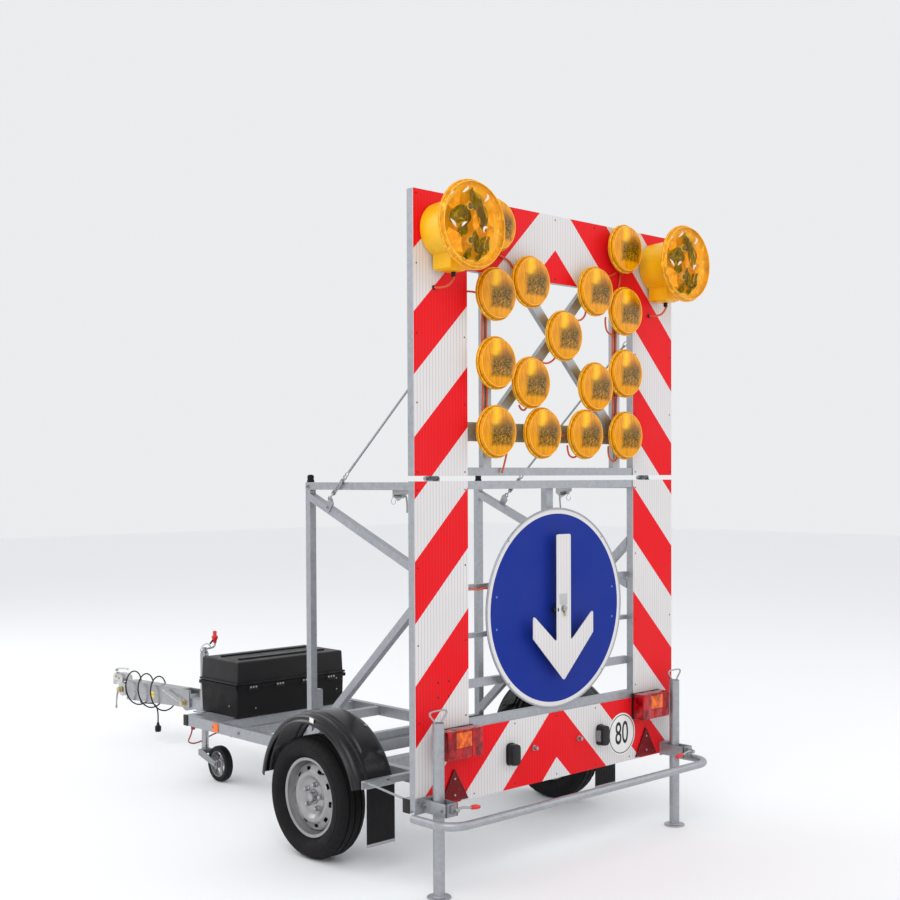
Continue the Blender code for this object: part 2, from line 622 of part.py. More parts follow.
def coupling():
    inner, outer = 0.0253, 0.0400
    y, z = FRONT_JOINT.y, FRONT_JOINT.z
    shapes = [block((-outer, outer), (y - 0.012, 3.985), (z + 0.052, z + 0.098))]
    for side in SIDES:
        cheek = sorted((side * inner, side * outer))
        shapes.append(disc(0.046, *cheek, FRONT_JOINT, "X"))
        web = sorted((side * (inner + 0.001), side * (outer - 0.001)))
        shapes.append(block(web, (y - 0.010, y + 0.040), (z, z + 0.060)))
    cup = (0, 3.984, 0)
    shapes.append(disc(0.036, z + 0.020, z + 0.100, cup, "Z"))
    socket = disc(0.0255, z - 0.02, z + 0.080, cup, "Z")
    add("coupling_head", shapes, "zinc", FRONT_JOINT, cuts=[socket])
    # Handle that opens the ball socket, lying back over the head.
    lift = [
        (3.995, z + 0.1015), (3.995, z + 0.118), (3.940, z + 0.130), (3.845, z + 0.136),
        (3.845, z + 0.124), (3.935, z + 0.116), (3.965, z + 0.1015),
    ]
    add("coupling_handle", [prism(lift, -0.017, 0.017, "X")], "zinc", (0, *HANDLE_PIVOT))


def clamp_lever(name, joint, reach):
    """Nut and lever of a drawbar joint, on the left side."""
    near = -BEAM_HALF - GAP
    start = joint + Vector((near - 0.018, 0, 0))
    nut = disc(0.020, near - 0.026, near, joint, "X", 12)
    lever = rod([start, start + reach * 0.5 + Vector((-0.004, 0, 0)), start + reach], 0.0065, 8)
    add(name, [nut, lever], "zinc", joint)


# ---------------------------------------------------------------- jockey wheel


def jockey():
    x, y = JOCKEY_X, JOCKEY_Y
    centre = (x, y, 0)
    top, bottom, pivot_z = 0.712, 0.318, 0.1695
    outer, bore, inner = 0.0240, 0.0207, 0.0200
    shell = [(0, top - 0.006), (bore, top - 0.006), (bore, bottom), (outer, bottom), (outer, top), (0, top)]
    add("jockey_outer_tube", [turned(shell, centre, "Z", 20)], "zinc")
    add("jockey_inner_tube", [disc(inner, pivot_z, 0.560, centre, "Z", 20)], "zinc", (x, y, pivot_z))
    # Fork, which trails behind the tube, with the wheel's pin between its blades.
    head = disc(0.0200, pivot_z - 0.030, pivot_z - GAP, centre, "Z", 20)
    shapes = [head, block((x - 0.036, x + 0.036), (y - 0.022, y + 0.018), (pivot_z - 0.028, pivot_z - 0.008))]
    wheel_y, wheel_z = JOCKEY_WHEEL_Y, JOCKEY_WHEEL_RADIUS
    blade = [
        (y + 0.016, 0.128), (y + 0.016, 0.159), (y - 0.030, 0.159),
        (wheel_y - 0.016, wheel_z + 0.014), (wheel_y - 0.016, wheel_z - 0.014),
    ]
    for low in (x - 0.036, x + 0.031):
        shapes.append(prism(blade, low, low + 0.005, "X"))
    axle_centre = (0, wheel_y, wheel_z)
    shapes.append(disc(0.0060, x - 0.040, x + 0.040, axle_centre, "X", 12))
    add("jockey_fork", shapes, "zinc", (x, y, pivot_z))
    radius = JOCKEY_WHEEL_RADIUS
    profile = [
        (0.0066, -0.027), (0.020, -0.027), (0.026, -0.008), (0.066, -0.010), (0.072, -0.020),
        (radius - 0.008, -0.0225), (radius, -0.012), (radius, 0.012), (radius - 0.008, 0.0225),
        (0.072, 0.020), (0.066, 0.010), (0.026, 0.008), (0.020, 0.027), (0.0066, 0.027),
    ]
    add("jockey_wheel", [turned(profile, (x, wheel_y, wheel_z), "X", 20)], "rubber", (x, wheel_y, wheel_z))
    spindle = disc(0.012, top + GAP, top + 0.030, centre, "Z", 12)
    reach = x + 0.070
    bend = [(x, y, top + 0.020), (reach - 0.008, y, top + 0.020)]
    bend += [(reach, y, top + 0.028), (reach, y, top + 0.060)]
    arm = rod(bend, 0.006, 8)
    grip = rod([(reach, y, top + 0.050), (reach, y, top + 0.118)], 0.013, 10)
    add("jockey_crank", [spindle, arm, grip], "zinc", (x, y, top))


# ---------------------------------------------------------------- connection cable


def cable_route():
    """From the gland, round the beam in loose loops, back along its underside and down to the plug."""
    middle_z, half_x, half_z = 0.320, 0.078, 0.106
    route = [(0.0608, 3.220, 0.335), (0.072, 3.220, 0.335), (0.087, 3.221, 0.335)]
    per_loop = 14
    start_y, pitch = 3.345, 0.158
    route += [(0.102, 3.240, 0.326), (0.096, 3.290, 0.306)]
    for step in range(1, CABLE_LOOPS * per_loop):
        turn = math.tau * step / per_loop
        y = start_y + pitch * turn / math.tau
        route.append((half_x * math.cos(turn), y, middle_z - half_z * math.sin(turn)))
    route += [(0.079, 3.815, 0.322), (0.072, 3.806, 0.266), (0.050, 3.776, 0.228), (0.020, 3.720, 0.222)]
    route += [(0.006, 3.660, 0.228), (0.000, 3.590, 0.236), (0.000, 3.525, 0.240), (0.000, 3.485, 0.222)]
    return route + [(0.000, 3.470, 0.180), (0.000, 3.470, 0.1285)]


def smooth_path(route, steps):
    """A Catmull-Rom curve through the route's points."""
    points = [Vector(point) for point in route]
    points = [2 * points[0] - points[1]] + points + [2 * points[-1] - points[-2]]
    path = []
    for a, b, c, d in zip(points, points[1:], points[2:], points[3:]):
        for step in range(steps):
            t = step / steps
            rise = (c - a) * t + (2 * a - 5 * b + 4 * c - d) * t**2
            path.append(0.5 * (2 * b + rise + (3 * b - a - 3 * c + d) * t**3))
    return path + [points[-2]]


def even_points(path, count):
    """The given number of points at equal spacing along a path."""
    lengths = [0]
    for first, second in zip(path, path[1:]):
        lengths.append(lengths[-1] + (second - first).length)
    points = []
    place = 0
    for step in range(count):
        goal = lengths[-1] * step / (count - 1)
        while place < len(path) - 2 and lengths[place + 1] < goal:
            place += 1
        span = lengths[place + 1] - lengths[place]
        points.append(path[place].lerp(path[place + 1], (goal - lengths[place]) / span))
    return points


def cable():
    path = even_points(smooth_path(cable_route(), 6), 80)
    tube("connection_cable", path, CABLE_RADIUS, 2, "rubber")
    profile = [(0, 0.066), (0.021, 0.066), (0.021, 0.100), (0.013, 0.106), (0.008, 0.128), (0, 0.128)]
    add("cable_plug", [turned(profile, (0, 3.470, 0), "Z", 16)], "black_plastic")


def build():
    clear_scene()
    make_looks()
    trailer = bpy.data.objects.new("trailer", None)
    trailer.location = (0, -PANEL_TO_CENTRE, 0)
    bpy.context.scene.collection.objects.link(trailer)
    chassis()
    axle()
    bumper()
    for side in SIDES:
        wheel(side)
        fender(side)
        support_leg(side)
        clamp_handle(side)
        mast_frame(side)
        guy_rope(side)
        warning_lamp(side)
        tail_light(side)
    lower_board()
    upper_board()
    sign()
    arrow()
    arrow_lamps()
    tool_box()
    drawbar()
    coupling()
    clamp_lever("drawbar_lever_rear", REAR_JOINT, Vector((-0.012, 0.205, 0.062)))
    clamp_lever("drawbar_lever_front", FRONT_JOINT, Vector((-0.010, 0.010, -0.125)))
    jockey()
    cable()


build()
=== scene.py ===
"""The looks of the arrow board trailer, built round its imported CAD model.

Metres, +Z up. Pieces are modelled in the CAD's working frame, whose Y = 0 is the rear face of the
striped boards and whose Z = 0 is the ground, and piece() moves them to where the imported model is.
"""

import math

import bmesh
import bpy
from mathutils import Matrix, Vector


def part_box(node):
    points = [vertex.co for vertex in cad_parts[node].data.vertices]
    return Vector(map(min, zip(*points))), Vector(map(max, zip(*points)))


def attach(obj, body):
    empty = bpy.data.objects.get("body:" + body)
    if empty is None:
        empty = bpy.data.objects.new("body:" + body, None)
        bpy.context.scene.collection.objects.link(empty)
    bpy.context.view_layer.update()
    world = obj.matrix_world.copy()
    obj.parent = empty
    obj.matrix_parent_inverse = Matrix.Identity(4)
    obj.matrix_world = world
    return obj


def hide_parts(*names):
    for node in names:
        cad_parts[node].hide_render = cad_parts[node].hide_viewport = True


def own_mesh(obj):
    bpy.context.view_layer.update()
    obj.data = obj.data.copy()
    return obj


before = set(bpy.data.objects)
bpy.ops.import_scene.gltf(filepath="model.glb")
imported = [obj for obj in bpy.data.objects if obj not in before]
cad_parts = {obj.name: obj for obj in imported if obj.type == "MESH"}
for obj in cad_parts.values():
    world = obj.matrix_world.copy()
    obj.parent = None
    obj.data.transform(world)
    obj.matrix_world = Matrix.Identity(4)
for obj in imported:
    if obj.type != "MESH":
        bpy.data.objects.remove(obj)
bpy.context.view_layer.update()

FACE_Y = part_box("lower_panel_left")[0].y
LEFT, RIGHT = -1, 1
SIDES = {LEFT: "left", RIGHT: "right"}
AXES = {"X": Vector((1, 0, 0)), "Y": Vector((0, 1, 0)), "Z": Vector((0, 0, 1))}
# Turns that take the Z axis to each axis.
AXIS_TURN = {
    "X": Matrix.Rotation(math.pi / 2, 4, "Y"), "Y": Matrix.Rotation(-math.pi / 2, 4, "X"), "Z": Matrix(),
}
SHARP = math.radians(38)

# Sizes shared by several pieces, in the working frame.
SIGN_Z, SIGN_RADIUS, BLUE_RADIUS, ARROW_Y = 1.12, 0.45, 0.423, -0.045
FOLD_Y, FOLD_Z, BACK_Y = 0.062, 1.703, 0.0396
BEACON_X, BEACON_Z, BEACON_RADIUS = 0.705, 2.715, 0.18
LAMP_COLUMN_X, LAMP_COUNT = 0.43, 15
RAIL_X, MAST_X, MAST_TOP, POST_Y = (0.46, 0.5), (0.5465, 0.5815), 1.687, (1.0525, 1.0875)
WHEEL_Y, TYRE_RADIUS, TYRE_X = 0.7335, 0.275, (0.715, 0.87)
FENDER_Y, FENDER_Z, FENDER_RADIUS, FENDER_X = 0.7, 0.287, 0.378, (0.67, 0.88)
LEG_X, LEG_Y, CLAMP_Z, CLAMP_Y = 0.786, -0.066, 0.378, -0.145
BOX_X, BOX_Y, BOX_Z, LID_Z = 0.37, (2.0, 2.366), (0.3925, 0.572), (0.5755, 0.705)
REAR_JOINT, FRONT_JOINT = Vector((0, 3.08, 0.307)), Vector((0, 3.87, 0.3))
JOCKEY_X, JOCKEY_Y, JOCKEY_WHEEL_Y, JOCKEY_WHEEL_RADIUS = -0.31, 2.42, 2.265, 0.1
JOCKEY_TOP, JOCKEY_PIVOT_Z = 0.712, 0.1695
BEAM_HALF, GLAND_Y, GLAND_Z, PLUG_Y = 0.0448, 3.22, 0.335, 3.47
SIGN_FACE_Y = -0.0042


def node_middle(name):
    """Middle of a CAD node's box, in the working frame."""
    low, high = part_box(name)
    return (low + high) / 2 - Vector((0, FACE_Y, 0))


# ---------------------------------------------------------------- camera, light and floor

CAMERA_PLACE = Vector((-4.2922, -5.7532, 1.7069))
CAMERA_YAW, CAMERA_PITCH, CAMERA_ROLL = math.radians(43.1175), math.radians(1.3467), math.radians(-0.26)


def camera():
    data = bpy.data.cameras.new("camera")
    data.sensor_width = 36
    data.lens = 51.25
    data.shift_x = 0.0038
    data.shift_y = 0.0641
    data.clip_end = 100
    thing = bpy.data.objects.new("camera", data)
    turn = Matrix.Rotation(-CAMERA_YAW, 4, "Z") @ Matrix.Rotation(math.pi / 2 - CAMERA_PITCH, 4, "X")
    turn = turn @ Matrix.Rotation(CAMERA_ROLL, 4, "Z")
    thing.matrix_world = Matrix.Translation(CAMERA_PLACE) @ turn
    bpy.context.scene.collection.objects.link(thing)
    bpy.context.scene.camera = thing


def soft_light(name, place, target, size, power):
    data = bpy.data.lights.new(name, "AREA")
    data.shape = "RECTANGLE"
    data.size, data.size_y = size
    data.energy = power
    thing = bpy.data.objects.new(name, data)
    thing.location = place
    thing.rotation_mode = "QUATERNION"
    thing.rotation_quaternion = (Vector(target) - Vector(place)).to_track_quat("-Z", "Y")
    bpy.context.scene.collection.objects.link(thing)


def studio():
    world = bpy.data.worlds.new("studio")
    world.use_nodes = True
    background = world.node_tree.nodes["Background"]
    background.inputs["Color"].default_value = (0.97, 0.98, 1.0, 1)
    background.inputs["Strength"].default_value = 0.86
    bpy.context.scene.world = world
    bpy.context.scene.view_settings.view_transform = "Standard"
    middle = (0, 0, 1.3)
    soft_light("key", (-6.5, -5.5, 7.5), middle, (7.0, 6.0), 285)
    soft_light("fill", (6.0, -6.5, 4.5), middle, (6.0, 5.0), 90)
    soft_light("back", (-3.5, 7.0, 6.0), middle, (6.0, 4.0), 190)
    mesh = bpy.data.meshes.new("floor")
    half = 30
    mesh.from_pydata(
        [(-half, -half, 0), (half, -half, 0), (half, half, 0), (-half, half, 0)], [], [(0, 1, 2, 3)],
    )
    floor = bpy.data.objects.new("floor", mesh)
    floor.location.z = -0.0006
    pale = bpy.data.materials.new("floor")
    pale.use_nodes = True
    shader = pale.node_tree.nodes["Principled BSDF"]
    shader.inputs["Base Color"].default_value = (0.94, 0.945, 0.955, 1)
    shader.inputs["Roughness"].default_value = 0.75
    mesh.materials.append(pale)
    bpy.context.scene.collection.objects.link(floor)


# ---------------------------------------------------------------- materials


class Look:
    """A procedural material: a Principled shader, and the nodes that feed it."""

    def __init__(self, name, colour, roughness, metallic=0.0, **more):
        self.material = bpy.data.materials.new(name)
        self.material.use_nodes = True
        self.tree = self.material.node_tree
        self.shader = self.tree.nodes["Principled BSDF"]
        self.set("Base Color", colour)
        self.set("Roughness", roughness)
        self.set("Metallic", metallic)
        for socket, value in more.items():
            self.set(socket.replace("_", " "), value)

    def set(self, socket, value):
        if isinstance(value, bpy.types.NodeSocket):
            self.tree.links.new(value, self.shader.inputs[socket])
        elif isinstance(value, tuple) and len(value) == 3:
            self.shader.inputs[socket].default_value = (*value, 1)
        else:
            self.shader.inputs[socket].default_value = value

    def node(self, kind, *values, **settings):
        """A node of that kind, its inputs filled in order with sockets or plain values."""
        made = self.tree.nodes.new("ShaderNode" + kind)
        for key, value in settings.items():
            setattr(made, key, value)
        for socket, value in zip(made.inputs, values):
            if isinstance(value, bpy.types.NodeSocket):
                self.tree.links.new(value, socket)
            else:
                socket.default_value = value
        return made

    def math(self, operation, first, second=0.0):
        return self.node("Math", first, second, operation=operation).outputs[0]

    def ramp(self, value, low, high, start=0.0, end=1.0):
        """value rescaled from start..end to low..high, and held there."""
        return self.node("MapRange", value, start, end, low, high).outputs[0]

    def mix(self, factor, first, second):
        """A blend of two colours."""
        made = self.node("Mix", data_type="RGBA")
        for socket, value in ((made.inputs[0], factor), (made.inputs[6], first), (made.inputs[7], second)):
            if isinstance(value, bpy.types.NodeSocket):
                self.tree.links.new(value, socket)
            else:
                socket.default_value = (*value, 1) if isinstance(value, tuple) else value
        return made.outputs[2]

    def place(self):
        """The point in the mesh's own frame, as a vector and as its X, Y and Z."""
        point = self.node("TexCoord").outputs["Object"]
        return point, *self.node("SeparateXYZ", point).outputs

    def noise(self, scale, detail=3.0, roughness=0.55, stretch=(1, 1, 1)):
        point = self.node("Mapping", self.place()[0]).outputs[0]
        point.node.inputs["Scale"].default_value = stretch
        made = self.node("TexNoise")
        self.tree.links.new(point, made.inputs["Vector"])
        made.inputs["Scale"].default_value = scale
        made.inputs["Detail"].default_value = detail
        made.inputs["Roughness"].default_value = roughness
        return made.outputs[0]

    def cells(self, scale):
        made = self.node("TexVoronoi", self.place()[0])
        made.inputs["Scale"].default_value = scale
        return made.outputs

    def bump(self, height, distance, strength=1.0):
        made = self.node("Bump")
        made.inputs["Strength"].default_value = strength
        made.inputs["Distance"].default_value = distance
        self.tree.links.new(height, made.inputs["Height"])
        self.set("Normal", made.outputs[0])


def shade(colour, factor):
    """A colour made darker or lighter."""
    return tuple(min(c * factor, 1) for c in colour)


def galvanised(name="galvanised", base=(0.37, 0.385, 0.41), spangle=70.0, depth=0.09):
    """Hot-dip zinc: crystals of slightly different grey, dull patches and small runs in the surface."""
    look = Look(name, base, 0.42, 0.72)
    crystals = look.node("SeparateColor", look.cells(spangle)["Color"]).outputs[0]
    cloud = look.noise(9.0, 4.0)
    colour = look.mix(crystals, shade(base, 1 - depth), shade(base, 1 + depth))
    look.set("Base Color", look.mix(look.ramp(cloud, 0.0, 0.22, 0.35, 0.75), colour, (0.45, 0.45, 0.46)))
    rough = look.math("ADD", look.ramp(crystals, 0.36, 0.46), look.ramp(cloud, 0.0, 0.14, 0.4, 0.7))
    look.set("Roughness", rough)
    look.bump(look.noise(60.0, 2.0), 0.0003, 0.4)
    return look.material


def bright_zinc(name="bright_zinc", base=(0.4, 0.4, 0.41)):
    """Zinc plated or machined steel: smooth and bright, with fine drawing lines and dull smears."""
    look = Look(name, base, 0.26, 0.95)
    smear = look.noise(9.0, 3.0)
    grain = look.noise(900.0, 2.0, stretch=(1, 1, 0.08))
    look.set("Base Color", look.mix(look.ramp(smear, 0.0, 0.5, 0.4, 0.75), base, shade(base, 0.78)))
    look.set(
        "Roughness", look.math("ADD", look.ramp(smear, 0.22, 0.31, 0.3, 0.7), look.ramp(grain, 0.0, 0.06)),
    )
    look.bump(grain, 0.0002, 0.4)
    return look.material


def yellow_zinc():
    look = Look("yellow_zinc", (0.62, 0.5, 0.26), 0.3, 0.9)
    smear = look.noise(70.0, 3.0)
    look.set("Base Color", look.mix(smear, (0.72, 0.58, 0.26), (0.5, 0.44, 0.36)))
    look.set("Roughness", look.ramp(smear, 0.2, 0.42))
    look.bump(look.noise(400.0), 0.0002, 0.4)
    return look.material


def plastic(name, colour, roughness=0.42, grain=1300.0, depth=0.0003, spread=0.12, **more):
    """Moulded plastic: fine grain, slightly uneven gloss and colour."""
    look = Look(name, colour, roughness, **more)
    cloud = look.noise(14.0, 3.0)
    light = tuple(min(c * (1 + spread) + 0.002, 1) for c in colour)
    look.set("Base Color", look.mix(cloud, shade(colour, 1 - spread), light))
    look.set("Roughness", look.ramp(cloud, roughness * 0.82, roughness * 1.18, 0.3, 0.7))
    look.bump(look.cells(grain)["Distance"], depth, 0.6)
    return look.material


def rubber(name="rubber", colour=(0.007, 0.007, 0.008), roughness=0.66):
    look = Look(name, colour, roughness, Specular_IOR_Level=0.22)
    dust = look.noise(20.0, 5.0, 0.7)
    look.set("Base Color", look.mix(look.ramp(dust, 0.0, 0.4, 0.5, 0.85), colour, (0.026, 0.024, 0.023)))
    look.set("Roughness", look.ramp(dust, roughness - 0.1, roughness + 0.16, 0.3, 0.7))
    look.bump(look.noise(380.0, 3.0), 0.0004, 0.5)
    return look.material


def painted_wheel():
    look = Look("wheel_silver", (0.6, 0.6, 0.61), 0.34, 0.72, Coat_Weight=0.25, Coat_Roughness=0.2)
    flake = look.cells(2600.0)["Color"]
    cloud = look.noise(16.0)
    colour = look.mix(look.node("SeparateColor", flake).outputs[0], (0.27, 0.265, 0.27), (0.44, 0.435, 0.44))
    look.set("Base Color", look.mix(look.ramp(cloud, 0.0, 0.3, 0.5, 0.8), colour, (0.3, 0.29, 0.285)))
    look.set("Roughness", look.ramp(cloud, 0.28, 0.48, 0.3, 0.7))
    look.bump(look.noise(500.0), 0.0002, 0.3)
    return look.material


RED_SHEET, WHITE_SHEET, BLUE_SHEET = (0.78, 0.0, 0.006), (0.72, 0.7, 0.7), (0.003, 0.024, 0.26)
STRIPE_TOP, STRIPE_STEP, BOARD_HALF = 2.63, 0.253, 0.85


def sheet_finish(look, colour, front):
    """Retroreflective sheeting on a panel's front. Its back and edges stay bare aluminium."""
    cloud = look.noise(3.0, 2.0)
    cell = look.cells(420.0)["Distance"]
    dust = look.math("MULTIPLY", cell, look.ramp(cloud, 0.02, 0.09, 0.35, 0.65))
    colour = look.mix(dust, colour, (0.2, 0.17, 0.17))
    look.set("Base Color", look.mix(front, (0.58, 0.59, 0.6), colour))
    look.set("Metallic", look.ramp(front, 0.75, 0.0))
    look.set("Roughness", look.ramp(cell, 0.44, 0.52))
    look.shader.inputs["Specular IOR Level"].default_value = 0.12
    return cell


def striped_sheet():
    """Red and white bars that fall away from the middle, on panels with fine upright ribs."""
    look = Look("striped_sheet", WHITE_SHEET, 0.3)
    _, x, y, z = look.place()
    slope = look.math("SUBTRACT", z, look.math("SUBTRACT", BOARD_HALF, look.math("ABSOLUTE", x)))
    count = look.math("FLOOR", look.math("DIVIDE", look.math("SUBTRACT", STRIPE_TOP, slope), STRIPE_STEP))
    red = look.math("FLOORED_MODULO", count, 2.0)
    rib = look.math("PINGPONG", x, 0.0085)
    line = look.math("MULTIPLY", look.ramp(rib, 0.42, 0.0, 0.0006, 0.0026), look.ramp(red, 1.0, 0.16))
    colour = look.mix(line, look.mix(red, WHITE_SHEET, RED_SHEET), (0.34, 0.28, 0.28))
    front = look.math("LESS_THAN", y, FACE_Y + 0.0006)
    cell = sheet_finish(look, colour, front)
    look.bump(look.math("ADD", look.math("MULTIPLY", rib, 30.0), cell), 0.0004, 0.35)
    return look.material


def sign_sheet(centre, blue_radius):
    look = Look("sign_sheet", BLUE_SHEET, 0.3)
    _, x, y, z = look.place()
    across = look.math("POWER", x, 2.0)
    up = look.math("POWER", look.math("SUBTRACT", z, centre.z), 2.0)
    radius = look.math("SQRT", look.math("ADD", across, up))
    border = look.math("GREATER_THAN", radius, blue_radius)
    front = look.math("LESS_THAN", y, FACE_Y + centre.y + 0.0012)
    cell = sheet_finish(look, look.mix(border, BLUE_SHEET, WHITE_SHEET), front)
    look.bump(cell, 0.0003, 0.3)
    return look.material


def arrow_sheet():
    look = Look("arrow_sheet", WHITE_SHEET, 0.3)
    _, x, _, _ = look.place()
    line = look.ramp(look.math("PINGPONG", x, 0.0095), 0.42, 0.0, 0.0006, 0.0026)
    cell = sheet_finish(look, look.mix(line, WHITE_SHEET, (0.34, 0.32, 0.32)), 1.0)
    look.bump(cell, 0.0003, 0.3)
    return look.material


def lens(name, colour, clear, roughness):
    """Clear plastic with a slightly uneven surface."""
    look = Look(name, colour, roughness, IOR=1.45, Transmission_Weight=clear)
    cloud = look.noise(30.0)
    look.set("Base Color", look.mix(cloud, shade(colour, 0.9), shade(colour, 1.08)))
    look.set("Roughness", look.ramp(cloud, roughness * 0.7, roughness * 1.4, 0.3, 0.7))
    look.bump(look.noise(160.0), 0.0006, 0.6)
    return look.material


def mottled_lens(name, bright, dark):
    """Lens of a rear light over its reflectors: deep patches, bright patches and faint upright ribs."""
    look = Look(name, bright, 0.14, Specular_IOR_Level=0.3, Coat_Weight=0.25, Coat_Roughness=0.06)
    _, x, _, _ = look.place()
    patch = look.noise(34.0, 2.0, stretch=(1.3, 1.0, 0.8))
    spark = look.noise(120.0, 2.0, stretch=(1.0, 1.0, 0.5))
    rib = look.math("PINGPONG", x, 0.0022)
    deep = look.math("ADD", look.ramp(patch, 0.0, 1.0, 0.34, 0.66), look.ramp(spark, -0.2, 0.2, 0.3, 0.7))
    look.set("Base Color", look.mix(look.math("MAXIMUM", deep, 0.0), bright, dark))
    look.set("Roughness", look.ramp(spark, 0.1, 0.2))
    look.bump(look.math("ADD", look.math("MULTIPLY", rib, 40.0), patch), 0.001, 0.4)
    return look.material


def lamp_lens():
    """Amber lens of an arrow lamp, with vertical flutes, a painted highlight down from its top, a painted
    shade towards its upper right, and dark prism bricks.
    """
    look = Look(
        "lamp_lens", (0.6, 0.22, 0.0), 0.24, Specular_IOR_Level=0.1, Coat_Weight=0.25, Coat_Roughness=0.05,
    )
    _, x, _, z = look.place()
    streak = look.noise(60.0, 3.0, stretch=(4.0, 1.0, 0.3))
    mottle = look.noise(26.0, 3.0)
    # The crown is a painted highlight: a bright wedge down from the top of the lens, a little left of its
    # middle.
    highlight_x = look.math(
        "ABSOLUTE", look.math("SUBTRACT", x, look.math("SUBTRACT", look.math("MULTIPLY", z, 0.1), 0.024)),
    )
    crown = look.math(
        "MULTIPLY", look.ramp(highlight_x, 1.0, 0.0, 0.004, 0.03), look.ramp(z, 0.0, 1.0, -0.01, 0.05),
    )
    colour = look.mix(look.ramp(streak, 0.0, 0.7, 0.4, 0.68), (0.86, 0.345, 0.0), (0.5, 0.15, 0.0))
    colour = look.mix(look.math("MULTIPLY", crown, 0.85), colour, (1.0, 0.58, 0.006))
    # A painted shade: the lens turns dark brown towards its upper right, with a ragged edge.
    shade_x = look.math("DIVIDE", look.math("SUBTRACT", x, 0.04), 0.064)
    shade_z = look.math("DIVIDE", look.math("SUBTRACT", z, 0.012), 0.062)
    shade = look.math(
        "SQRT", look.math("ADD", look.math("POWER", shade_x, 2.0), look.math("POWER", shade_z, 2.0)),
    )
    shade = look.math("ADD", shade, look.ramp(mottle, -0.25, 0.25))
    colour = look.mix(look.ramp(shade, 0.8, 0.0, 0.45, 1.05), colour, (0.17, 0.062, 0.0))
    wide, tall = 0.0085, 0.0048
    row = look.math("FLOOR", look.math("DIVIDE", z, tall))
    cells = look.node("CombineXYZ", look.math("FLOOR", look.math("DIVIDE", x, wide)), 0.0, row)
    spread = look.node("TexWhiteNoise", cells.outputs[0]).outputs[0]
    brick_x = look.math("DIVIDE", look.math("ABSOLUTE", look.math("SUBTRACT", x, 0.012)), 0.066)
    brick_z = look.math("DIVIDE", look.math("ABSOLUTE", look.math("SUBTRACT", z, -0.014)), 0.046)
    inside = look.ramp(look.math("MAXIMUM", brick_x, brick_z), 1.0, 0.0, 0.72, 1.12)
    lit = look.ramp(spread, 0.0, 1.0, 0.5, 0.62)
    brick = look.mix(lit, (0.026, 0.026, 0.001), (0.27, 0.125, 0.0))
    colour = look.mix(look.math("MULTIPLY", inside, look.ramp(streak, 0.7, 1.0, 0.4, 0.55)), colour, brick)
    seam = look.ramp(look.math("PINGPONG", z, tall / 2), 1.0, 0.0, 0.0, 0.0006)
    colour = look.mix(
        look.math("MULTIPLY", look.math("MULTIPLY", seam, inside), 0.35), colour, (0.7, 0.34, 0.02),
    )
    rise = look.ramp(look.math("ABSOLUTE", look.math("ADD", z, 0.026)), 1.0, 0.0, 0.004, 0.02)
    flame = look.math(
        "MULTIPLY", rise, look.ramp(look.noise(190.0, 1.0, stretch=(1.0, 1.0, 0.22)), 0.0, 0.75, 0.55, 0.64),
    )
    flame = look.math("MULTIPLY", flame, look.ramp(brick_x, 1.0, 0.0, 0.6, 1.2))
    colour = look.mix(flame, colour, (0.8, 0.34, 0.01))
    look.set("Base Color", colour)
    look.set("Roughness", look.ramp(mottle, 0.2, 0.32, 0.3, 0.7))
    look.bump(look.math("ADD", streak, look.noise(700.0, 1.0, stretch=(1.0, 1.0, 0.02))), 0.0007, 0.5)
    return look.material


def glowing(name, colour, strength):
    """Translucent orange plastic, with a painted glow (a weak emission) in place of light shining through it,
    and painted bright yellow glints.
    """
    look = Look(
        name, colour, 0.28, Specular_IOR_Level=0.25, Emission_Strength=strength, Emission_Color=(*colour, 1),
    )
    cloud = look.noise(30.0, 3.0)
    facet = look.cells(70.0)["Distance"]
    # spark picks out painted bright yellow glints on the bowl.
    spark = look.noise(64.0, 2.0, stretch=(1.5, 1.0, 0.5))
    tone = look.mix(look.ramp(cloud, 0.0, 0.8, 0.45, 0.7), colour, shade(colour, 0.5))
    look.set("Base Color", look.mix(look.ramp(spark, 0.0, 0.8, 0.56, 0.68), tone, (1.0, 0.66, 0.06)))
    look.set("Roughness", look.ramp(cloud, 0.18, 0.34))
    look.bump(look.math("ADD", facet, cloud), 0.001, 0.4)
    return look.material


def leaf_mirror():
    """Hollow mirror of a warning lamp: dark olive mottled with yellow-green, crossed by streaks of painted
    orange highlight.
    """
    look = Look("leaf_mirror", (0.1, 0.11, 0.006), 0.22, Specular_IOR_Level=0.2)
    cloud = look.noise(24.0, 3.0, stretch=(1.0, 1.0, 0.5))
    streak = look.noise(90.0, 2.0, stretch=(1.0, 1.0, 0.15))
    colour = look.mix(look.ramp(cloud, 0.0, 1.0, 0.44, 0.58), (0.01, 0.016, 0.001), (0.13, 0.115, 0.0))
    # The streaks paint orange highlights on the mirror.
    look.set("Base Color", look.mix(look.ramp(streak, 0.0, 0.8, 0.54, 0.66), colour, (0.6, 0.36, 0.004)))
    look.set("Roughness", look.ramp(cloud, 0.14, 0.3))
    look.bump(streak, 0.0003, 0.4)
    return look.material


def wire_look(name, colour):
    """Strands laid round a rope, as a slanted bump, with painted shade in the grooves between them."""
    pitch = 0.004
    look = Look(name, colour, 0.36, 0.85)
    _, x, y, z = look.place()
    lay = look.math(
        "PINGPONG", look.math("ADD", z, look.math("MULTIPLY", look.math("ADD", x, y), 1.6)), pitch,
    )
    # Painted shade: darker in the grooves between the strands, lighter on their crests.
    look.set("Base Color", look.mix(look.ramp(lay, 0.0, 1.0, 0.0, pitch), shade(colour, 0.5), colour))
    look.bump(lay, 0.002, 0.8)
    return look.material


LOOKS = {}


